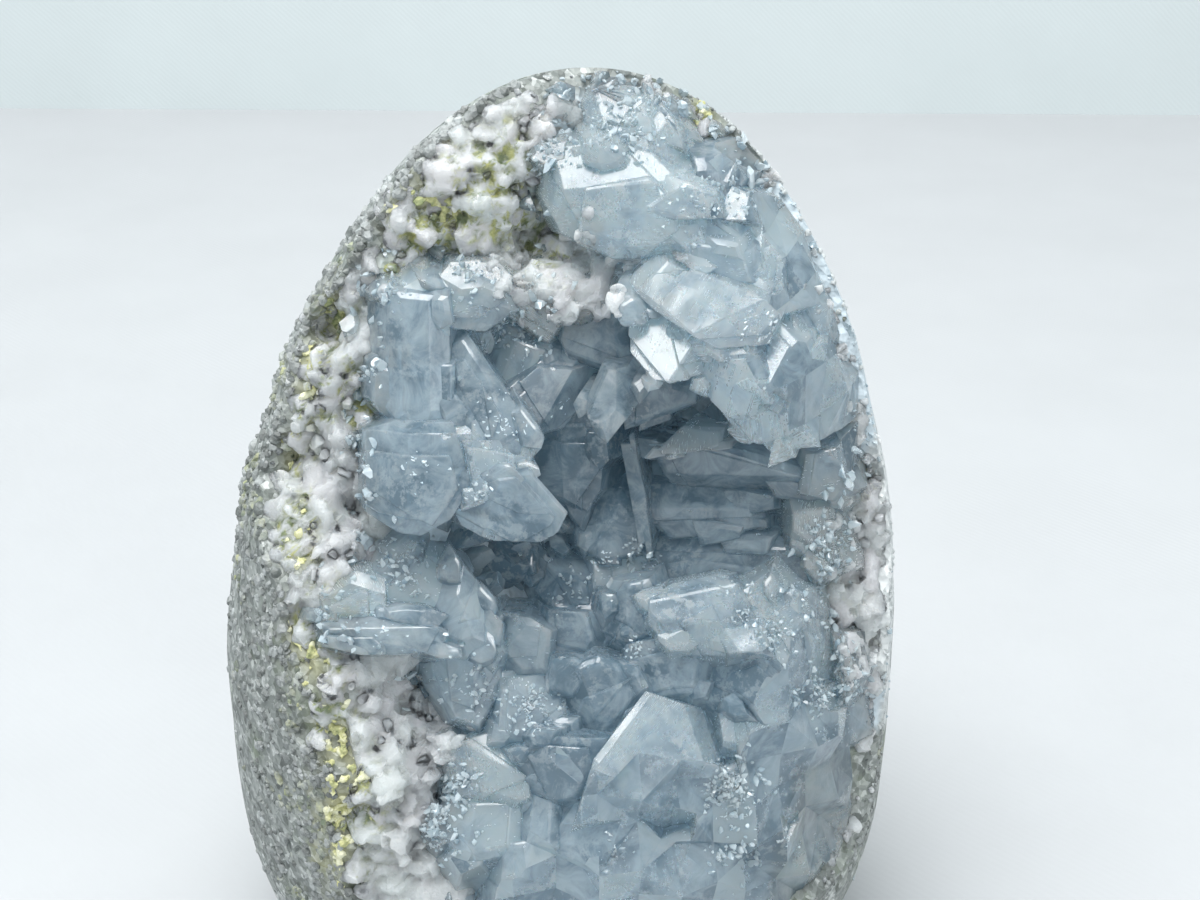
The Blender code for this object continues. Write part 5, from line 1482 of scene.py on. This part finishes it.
@dataclass
class SugarBand:
    """The sugary grains of the broken wall and the coarse grains of the ground rim.

    Each spill over the crystals is its middle in the face plane, its reach, the number of
    lumps and the largest of them.
    """

    spills: tuple = numbers("""
        -4.5 17.4 4.2 70 2.6; -1.0 17.0 3.2 80 2.8; -3.0 14.6 2.0 16 2.2; -9.5 19.2 2.6 26 2.4; 0.5 15.8 2.4 18 2.2;
        -6.6 14.8 1.8 12 1.8; 25.6 11.0 2.2 26 1.6; 23.6 17.0 2.4 24 1.5; 27.0 4.6 1.8 20 1.6; 26.5 -7.0 2.6 40 2.0;
        26.5 -14.0 2.8 44 2.2; 26.5 -21.0 2.4 34 2.0; -16.0 -30.0 2.4 26 2.4""")
    reach_u: tuple[float, float] = (-42.0, 40.0)
    reach_v: tuple[float, float] = (-64.0, 44.0)
    lump_count: int = 1000
    wall_count: int = 420
    voxel: float = 0.31
    relax: int = 1
    rim_count: int = 1900
    lump_sizes: tuple[float, float] = (2.6, 8.0)
    grain_sizes: tuple[float, float] = (0.8, 2.3)
    rim_sizes: tuple[float, float] = (0.5, 1.5)
    lump_shapes: int = 8
    grain_shapes: int = 12
    rim_shapes: int = 16
    wall_proud: float = 0.25
    seed: int = 12
    finish: SugarFinish = SugarFinish()
    rim_finish: SugarFinish = SugarFinish(name="ground_rock_grain", dark="#5A605D", light="#C4CACA", blush="#9FA09F",
                                          moss="#7C8A6C", roughness=0.5, glow=0.08)

    @staticmethod
    def tint(chooser: random.Random, place: Vector, under: float) -> tuple[float, float, float]:
        """Picks a grain's shade, moss and blush by its depth under the skin and its place: grains near the top get a
        painted highlight, and grains towards the left are darker.

        Args:
            chooser: Source of chance.
            place: The grain's place.
            under: Its depth under the ground skin.

        Returns:
            Shade, moss and blush, each from 0 to 1.
        """
        cloud = noise.noise(place / 6.0)
        green = noise.noise(place / 5.0 + Vector((3.0, 1.0, 8.0)))
        high = smooth_step(78.0, 92.0, place.z)
        right = smooth_step(10.0, 20.0, place.x)
        rock = 1.0 - smooth_step(1.0 - 0.6 * high, 4.6 - 2.4 * max(high, right), under + 2.0 * cloud)
        left = smooth_step(-18.0, -30.0, place.x)
        # Painted highlight: high lifts the shade of grains near the top, where the light falls; left darkens grains
        # towards the left.
        bright = chooser.uniform(0.62 - 0.25 * left + 0.2 * high, 1.1 - 0.35 * left + 0.2 * high)
        shade = bright * (1.0 - rock) + chooser.uniform(0.0, 0.55) * rock + 0.15 * cloud
        moss = smooth_step(0.1, 0.5, green) * chooser.uniform(0.0, 0.8) * (0.35 + 0.65 * rock)
        blush = chooser.uniform(0.0, 0.6) * (1.0 - 0.5 * rock)
        return (min(max(shade, 0.0), 1.0), moss, blush)

    def wall_grains(self, stamp: Stamp, lump: bool) -> None:
        """Presses lumps or small grains into the wall outside the crystals' ground.

        Args:
            stamp: The grains' mesh.
            lump: Whether lumps are meant.
        """
        chooser = random.Random(self.seed + lump)
        done = 0
        while done < (self.lump_count if lump else self.wall_count):
            u, v = chooser.uniform(*self.reach_u), chooser.uniform(*self.reach_v)
            inside = inside_outline(CRUST_ZONE, u, v)
            if inside and (outline_gap(CRUST_ZONE, u, v) > 2.2 or chooser.random() < 0.5):
                continue
            place = FACE.point(u, v, WALL.out(u, v))
            under = EGG.below_skin(place)
            if under < (1.2 if lump else 0.1):
                continue
            coarse = smooth_step(0.5, 6.0, under)
            share = chooser.random() ** 1.7
            size = between(self.lump_sizes if lump else self.grain_sizes, share) * (0.5 + 0.5 * coarse)
            normal = FACE.direction(WALL.normal(u, v))
            place = place + normal * size * (chooser.uniform(-0.34, -0.08) if lump else chooser.uniform(0.0, 0.4))
            sizes = (size, size * chooser.uniform(0.6, 1.0), size * chooser.uniform(0.6, 1.0))
            shade, moss, blush = self.tint(chooser, place, under)
            moss = max(moss, min(1.0, 2.6 * ClayPockets.mask(u, v)))
            stamp.press(chooser.randrange(self.lump_shapes) if lump
                        else self.lump_shapes + chooser.randrange(self.grain_shapes),
                        turned(chooser, place, random_way(chooser), sizes), (shade, moss, blush),
                        lambda point: held_in(point, self.wall_proud))
            done += 1

    def spilled_grains(self, stamp: Stamp, crust: bpy.types.Object) -> None:
        """Presses lumps onto the crystals where the sugar has grown over them.

        Args:
            stamp: The grains' mesh.
            crust: The crystals.
        """
        chooser = random.Random(self.seed + 3)
        tree = mesh_tree(crust)
        for mid_u, mid_v, reach, count, largest in self.spills:
            for _ in range(count):
                u, v = mid_u + chooser.gauss(0.0, 0.5) * reach, mid_v + chooser.gauss(0.0, 0.5) * reach
                place, normal, _, _ = tree.ray_cast(FACE.eye(), (FACE.point(u, v, 0.0) - FACE.eye()).normalized())
                if place is None:
                    continue
                size = largest * chooser.uniform(0.45, 1.0)
                sizes = (size, size * chooser.uniform(0.6, 1.0), size * chooser.uniform(0.5, 0.8))
                matrix = turned(chooser, place - normal * size * 0.1, (normal + random_way(chooser) * 0.5), sizes)
                shade = min(chooser.uniform(0.7, 1.1), 1.0)
                stamp.press(chooser.randrange(self.lump_shapes), matrix,
                            (shade, 0.9 * ClayPockets.mask(u, v), chooser.uniform(0.0, 0.6)),
                            lambda point: held_in(point, 0.2))

    def rim_grains(self, stamp: Stamp) -> None:
        """Presses small rock grains into the ground skin beside the hollow's rim."""
        chooser = random.Random(self.seed + 5)
        done = 0
        while done < self.rim_count:
            z = chooser.uniform(1.0, 104.0)
            turn = chooser.uniform(-math.pi, 0.35)
            point = EGG.skin(z, math.cos(turn), math.sin(turn), 0.0)
            local = FACE.local(point)
            behind = WALL.out(local.x, local.y) - local.z
            left = smooth_step(6.0, -14.0, local.x)
            sugary = smooth_step(12.0, 20.0, local.x) * smooth_step(-34.0, -26.0, local.y)
            if behind < -0.3 or behind > 1.5 + 16.0 * left * chooser.random() ** 2 or chooser.random() < 0.7 * sugary:
                continue
            high = smooth_step(52.0, 66.0, z) * left
            size = chooser.uniform(*self.rim_sizes) * (0.6 + 0.4 * left + 0.3 * high * chooser.random())
            up = (point - Vector((EGG.shift(z), 0.0, 45.0))).normalized()
            place = point - up * size * chooser.uniform(0.12, 0.4)
            sizes = (size, size * chooser.uniform(0.7, 1.0), size * chooser.uniform(0.7, 1.0))
            shade, moss, blush = self.tint(chooser, place, 0.4)
            stamp.press(chooser.randrange(self.rim_shapes), turned(chooser, place, random_way(chooser), sizes),
                        (shade + sugary * chooser.uniform(0.8, 1.4), moss * (1.0 - sugary), blush),
                        lambda spot: held_in(spot, 0.22 + 0.3 * high))
            done += 1

    def build(self, crust: bpy.types.Object) -> list[bpy.types.Object]:
        """Builds the two pieces of grains.

        Args:
            crust: The crystals, which some of the grains lie on.

        Returns:
            The wall's grains and the rim's.
        """
        wall = Stamp("sugar_grains")
        wall.learn_grains(self.lump_shapes, self.seed, 9, flat=0.85, levels=2)
        wall.learn_grains(self.grain_shapes, self.seed + 2, 7)
        self.wall_grains(wall, True)
        self.spilled_grains(wall, crust)
        wall.fuse(self.voxel, self.relax)
        self.wall_grains(wall, False)
        material = self.finish.material()
        rim = Stamp("rim_grains")
        rim.learn_grains(self.rim_shapes, self.seed + 1, 6)
        self.rim_grains(rim)
        return [wall.build(material, "geode_rock"), rim.build(self.rim_finish.material(), "geode_rock")]


@dataclass
class ClayPockets:
    """Yellow-green clay left in the pockets of the wall.

    Each pocket is its middle in the face plane, its reach across and up, the number of
    crumbs, and its shade from olive to yellow.
    """

    pockets: tuple = numbers("""
        -9.5 26.0 5.4 4.2 60 0.3; -16.0 23.0 4.2 4.2 46 0.4; -7.0 19.6 2.8 2.2 22 0.45; -26.8 13.5 1.9 2.6 24 0.1;
        -28.2 7.6 2.6 4.4 44 0.6; -31.0 -1.0 1.4 3.0 20 0.55; -28.5 -19.0 3.0 4.2 46 0.7;
        -26.8 -37.0 4.2 3.2 56 0.6; -28.2 -42.6 3.0 2.8 34 0.75; 10.2 33.2 1.3 2.4 16 0.6;
        27.5 -3.5 1.1 1.7 14 0.55; -30.5 -8.5 1.6 3.4 20 0.6; -27.0 -29.0 2.2 4.0 24 0.7;
        -24.5 -32.8 1.6 2.0 12 0.8; -30.5 -50.0 2.6 3.0 22 0.6; -20.5 17.8 1.6 1.6 8 0.35; -4.0 16.8 1.4 1.0 6 0.5;
        -24.0 4.0 2.0 3.0 12 0.7""")
    crumb_sizes: tuple[float, float] = (0.4, 1.5)
    crumb_shapes: int = 12
    proud: float = 0.25
    voxel: float = 0.2
    seed: int = 5
    finish: ClayFinish = ClayFinish()

    @classmethod
    def mask(cls, u: float, v: float) -> float:
        """How strongly a place in the face plane is stained by clay."""
        stain = 0.0
        for mid_u, mid_v, reach_u, reach_v, _, _ in cls.pockets:
            away = ((u - mid_u) / reach_u) ** 2 + ((v - mid_v) / reach_v) ** 2
            if away < 6.0:
                stain = max(stain, math.exp(-away))
        return stain * (0.6 + 0.8 * noise.noise(Vector((u / 2.0, v / 2.0, 5.0))))

    def build(self) -> bpy.types.Object:
        """Builds the crumbs.

        Returns:
            The piece.
        """
        chooser = random.Random(self.seed)
        stamp = Stamp("clay_crumbs", facet=0.7)
        stamp.learn_grains(self.crumb_shapes, self.seed, 4, flat=0.8)
        for mid_u, mid_v, reach_u, reach_v, count, shade in self.pockets:
            for _ in range(count * 2):
                u = mid_u + chooser.gauss(0.0, 0.5) * reach_u
                v = mid_v + chooser.gauss(0.0, 0.5) * reach_v
                place = FACE.point(u, v, WALL.out(u, v))
                if EGG.below_skin(place) < -0.1:
                    continue
                size = between(self.crumb_sizes, chooser.random() ** 2.2)
                normal = FACE.direction(WALL.normal(u, v))
                place = place + normal * (size * chooser.uniform(-0.2, 0.15) + chooser.uniform(-0.2, 0.35))
                sizes = (size, size * chooser.uniform(0.6, 1.0), size * chooser.uniform(0.5, 0.9))
                tint = (min(max(shade + chooser.gauss(0.0, 0.28), 0.0), 1.0), 0.0, 0.0)
                stamp.press(chooser.randrange(self.crumb_shapes), turned(chooser, place, random_way(chooser), sizes),
                            tint, lambda point: held_in(point, self.proud))
        stamp.fuse(self.voxel, 1)
        return stamp.build(self.finish.material(), "geode_rock")


@dataclass
class Druse:
    """The smallest crystals, dusted over broken faces, pockets and the crust's edge.

    Each patch is its middle in the face plane, its reach, the number of crystals and
    the largest of them. Each sparkle is its middle, its reach and the number of thin
    plates in it that throw the large light back to the eye.
    """

    patches: tuple = numbers("""
        13.4 -34.6 2.6 150 1.2; 17.6 -18.6 2.2 70 1.1; -7.0 -26.0 2.0 60 1.1; 3.6 -10.6 1.6 30 1.0;
        22.6 -8.6 2.4 70 1.5; 24.0 -15.0 3.4 90 1.5; -13.0 -24.0 3.4 60 1.4; -20.0 -12.6 3.0 70 1.5;
        3.0 -20.5 1.0 16 0.9; 14.5 -17.0 1.0 16 0.9; -2.6 -14.0 2.0 30 1.0; 25.5 -24.0 2.8 70 1.3;
        27.0 3.0 1.8 40 1.0; -8.0 12.0 2.4 50 1.2; 2.0 34.5 4.5 110 1.6; -4.5 31.0 3.0 70 1.4; 12.5 25.5 3.2 60 1.2;
        -13.0 17.5 2.2 30 1.2; -21.0 16.0 1.8 24 1.2; 22.0 -25.5 2.2 50 1.0; 14.0 -41.0 2.6 60 1.2;
        -14.5 -34.0 2.6 60 1.5; -16.0 -38.0 3.0 80 1.6""")
    edge_count: int = 900
    sparkles: tuple = numbers("""
        -10.3 3.2 2.2 40; -18.0 -1.5 2.0 20; -12.0 -4.0 1.6 18; -4.5 4.8 1.2 10; 0.8 -11.4 1.4 24;
        12.5 -34.5 2.8 80; 21.5 -28.8 1.4 24; 4.0 -20.2 1.2 20; -7.2 -26.3 2.4 44; 1.5 -40.0 2.0 24;
        19.5 -39.8 1.6 24; 16.5 12.5 2.4 34; 8.0 25.0 3.0 24; -22.0 -19.0 2.6 16; 14.5 -13.6 1.8 18; 3.0 34.0 4.0 30""")
    plate_sizes: tuple[float, float] = (0.25, 0.85)
    plate_corners: tuple[int, ...] = (6, 4, 5)
    plate_jitter: float = 0.34
    plate_facing: float = 0.3
    grain_shapes: int = 14
    edge_reach: float = 1.8
    smallest: float = 0.45
    seed: int = 23
    finish: CelestiteFinish = CelestiteFinish(name="celestite_druse", transmission=0.5, glow=0.0, density=0.0,
                                              deep="#B9CFDB", middle="#D3E4EC", pale="#E9F5FA")

    def learn_plates(self, stamp: Stamp) -> None:
        """Models the thin plates with bevelled rims, 1 mm across, that flash as a whole."""
        for corners in self.plate_corners:
            item = primitive(bpy.ops.mesh.primitive_cylinder_add, vertices=corners, radius=0.5, depth=1.0)
            wear_edges(item, 0.06)
            stamp.learn(item)

    def spots(self, chooser: random.Random) -> list[tuple[float, float, float]]:
        """Picks face positions and sizes for the druse."""
        made = []
        for mid_u, mid_v, reach, count, largest in self.patches:
            for _ in range(count):
                made.append((mid_u + chooser.gauss(0.0, 0.55) * reach, mid_v + chooser.gauss(0.0, 0.55) * reach,
                             between((self.smallest, largest), chooser.random() ** 2.0)))
        while len(made) < self.edge_count + sum(patch[3] for patch in self.patches):
            u, v = chooser.uniform(-30.0, 32.0), chooser.uniform(-55.0, 42.0)
            if outline_gap(CRUST_ZONE, u, v) < self.edge_reach:
                made.append((u, v, self.smallest + chooser.random() ** 1.6 * 1.5))
        return made

    def build(self, crust: bpy.types.Object, rock: bpy.types.Object) -> bpy.types.Object:
        """Grows the druse on the crust and the rock, as seen from the front.

        Args:
            crust: The crystals.
            rock: The rock.

        Returns:
            The piece.
        """
        chooser = random.Random(self.seed)
        trees = [mesh_tree(crust), mesh_tree(rock)]
        stamp = Stamp("druse")
        stamp.learn_grains(self.grain_shapes, self.seed, 7)
        self.learn_plates(stamp)

        def landing(u: float, v: float) -> tuple[Vector, Vector] | None:
            """Finds where a line from the eye first meets the piece, and the face's normal."""
            aim = (FACE.point(u, v, 0.0) - FACE.eye()).normalized()
            hits = [hit for hit in (tree.ray_cast(FACE.eye(), aim) for tree in trees) if hit[0] is not None]
            return min(hits, key=lambda hit: hit[3])[:2] if hits else None

        for mid_u, mid_v, reach in (spot[:3] for spot in self.sparkles for _ in range(spot[3])):
            found = landing(mid_u + chooser.gauss(0.0, 0.55) * reach, mid_v + chooser.gauss(0.0, 0.55) * reach)
            size = between(self.plate_sizes, chooser.random() ** 2.0)
            if not found:
                continue
            place, normal = found
            mirror = FACE.direction(Crystal.glint(FACE.local(place)))
            up = (mirror + random_way(chooser) * self.plate_jitter).normalized()
            if up.dot(normal) < self.plate_facing:
                continue
            sizes = (size, size * chooser.uniform(0.4, 0.8), size * 0.4)
            stamp.press(self.grain_shapes + chooser.randrange(len(self.plate_corners)),
                        turned(chooser, place - normal * size * 0.2, up, sizes),
                        (chooser.uniform(0.7, 1.0), chooser.uniform(0.5, 1.0), chooser.random()),
                        lambda point: held_in(point, 0.1))
        for u, v, size in self.spots(chooser):
            found = landing(u, v)
            if not found:
                continue
            place, normal = found
            place = place - normal * size * 0.12
            up = (normal + random_way(chooser) * 0.6).normalized()
            sizes = (size * chooser.uniform(0.3, 0.5), size * chooser.uniform(0.5, 0.9),
                     size * chooser.uniform(0.9, 1.6))
            tint = (chooser.uniform(0.4, 1.0), chooser.uniform(0.0, 0.5), chooser.random())
            stamp.press(chooser.randrange(self.grain_shapes), turned(chooser, place, up, sizes), tint,
                        lambda point: held_in(point, 0.15))
        return stamp.build(self.finish.material(), "celestite", "growth")


@dataclass
class Stage:
    """The cloth floor and backdrop, the soft light and the camera."""

    fold_y: float = 0.366
    fold_turn: float = math.radians(-1.2)
    cloth_width: float = 3.2
    floor_length: float = 2.4
    wall_height: float = 1.5
    floor_cloth: ClothFinish = ClothFinish("white_table_cloth", "#BFC1C3")
    back_cloth: ClothFinish = ClothFinish("pale_wall_cloth", "#D0D8D9")
    lens: float = 60.0
    softbox_size: float = 0.53
    softbox_watts: float = 7.5
    fill_size: float = 0.6
    fill_watts: float = 1.45
    wash_size: float = 0.7
    wash_watts: float = 0.92
    sky: float = 0.70

    def sheet(self, name: str, size: tuple[float, float], place: Matrix, finish: ClothFinish) -> bpy.types.Object:
        """Lays a stage cloth.

        Args:
            name: Its name.
            size: Its width and length in metres.
            place: Its place and turn.
            finish: Its cloth.

        Returns:
            The cloth.
        """
        item = primitive(bpy.ops.mesh.primitive_grid_add, x_subdivisions=24, y_subdivisions=24, size=1.0)
        item.name = name
        item.data.transform(place @ Matrix.Diagonal((size[0], size[1], 1.0, 1.0)))
        item.data.materials.append(finish.material())
        return item

    def light(self, name: str, place: Vector, target: Vector, size: float, watts: float) -> None:
        """Hangs a square soft light that looks at a point."""
        lamp = bpy.data.lights.new(name, "AREA")
        lamp.size = size
        lamp.energy = watts
        item = bpy.data.objects.new(name, lamp)
        item.location = place
        item.rotation_euler = (target - place).to_track_quat("-Z", "Y").to_euler()
        bpy.context.scene.collection.objects.link(item)

    def build(self) -> None:
        """Sets the stage, the lights and the camera."""
        scene = bpy.context.scene
        turn = Matrix.Rotation(self.fold_turn, 4, "Z")
        floor_place = turn @ Matrix.Translation((0.0, self.fold_y - self.floor_length / 2.0, 0.0))
        self.sheet("table_cloth", (self.cloth_width, self.floor_length), floor_place, self.floor_cloth)
        wall_middle = (0.0, self.fold_y - MM, self.wall_height / 2.0)
        wall_place = turn @ Matrix.Translation(wall_middle) @ Matrix.Rotation(math.pi / 2.0, 4, "X")
        self.sheet("wall_cloth", (self.cloth_width, self.wall_height), wall_place, self.back_cloth)

        target = FACE.point(0.0, 0.0, 0.0) * MM
        self.light("softbox", SOFTBOX * MM, target, self.softbox_size, self.softbox_watts)
        self.light("back_wash", Vector((0.0, 0.20, 0.62)), Vector((0.0, 0.30, 0.0)), self.wash_size, self.wash_watts)
        self.light("front_fill", Vector((0.45, -0.75, 0.35)), target, self.fill_size, self.fill_watts)
        world = bpy.data.worlds.new("pale_room")
        world.use_nodes = True
        sky = world.node_tree.nodes["Background"]
        sky.inputs["Color"].default_value = linear("#E6EEF2")
        sky.inputs["Strength"].default_value = self.sky
        scene.world = world
        scene.cycles.max_bounces = 8
        scene.view_settings.view_transform = "Standard"

        camera = bpy.data.cameras.new("portrait")
        camera.lens = self.lens
        camera.sensor_width = 36.0
        camera.clip_start = 0.01
        item = bpy.data.objects.new("portrait", camera)
        item.location = FACE.point(0.0, 0.0, FACE.view_reach) * MM
        item.rotation_euler = (math.pi / 2.0 - FACE.pitch, 0.0, 0.0)
        scene.collection.objects.link(item)
        scene.camera = item


def main() -> None:
    """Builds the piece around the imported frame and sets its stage."""
    logging.basicConfig(level=logging.INFO, format="%(name)s: %(message)s")
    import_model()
    Stage().build()
    rock = HostRock().build()
    LOG.info("ground rock: %d faces", len(rock.data.polygons))
    crust = CrystalCrust().build()
    LOG.info("crystals: %d faces", len(crust.data.polygons))
    for grains in SugarBand().build(crust):
        LOG.info("%s: %d faces", grains.name, len(grains.data.polygons))
    clay = ClayPockets().build()
    LOG.info("clay: %d faces", len(clay.data.polygons))
    druse = Druse().build(crust, rock)
    LOG.info("druse: %d faces", len(druse.data.polygons))
    bpy.context.view_layer.update()


if __name__ == "__main__":
    main()
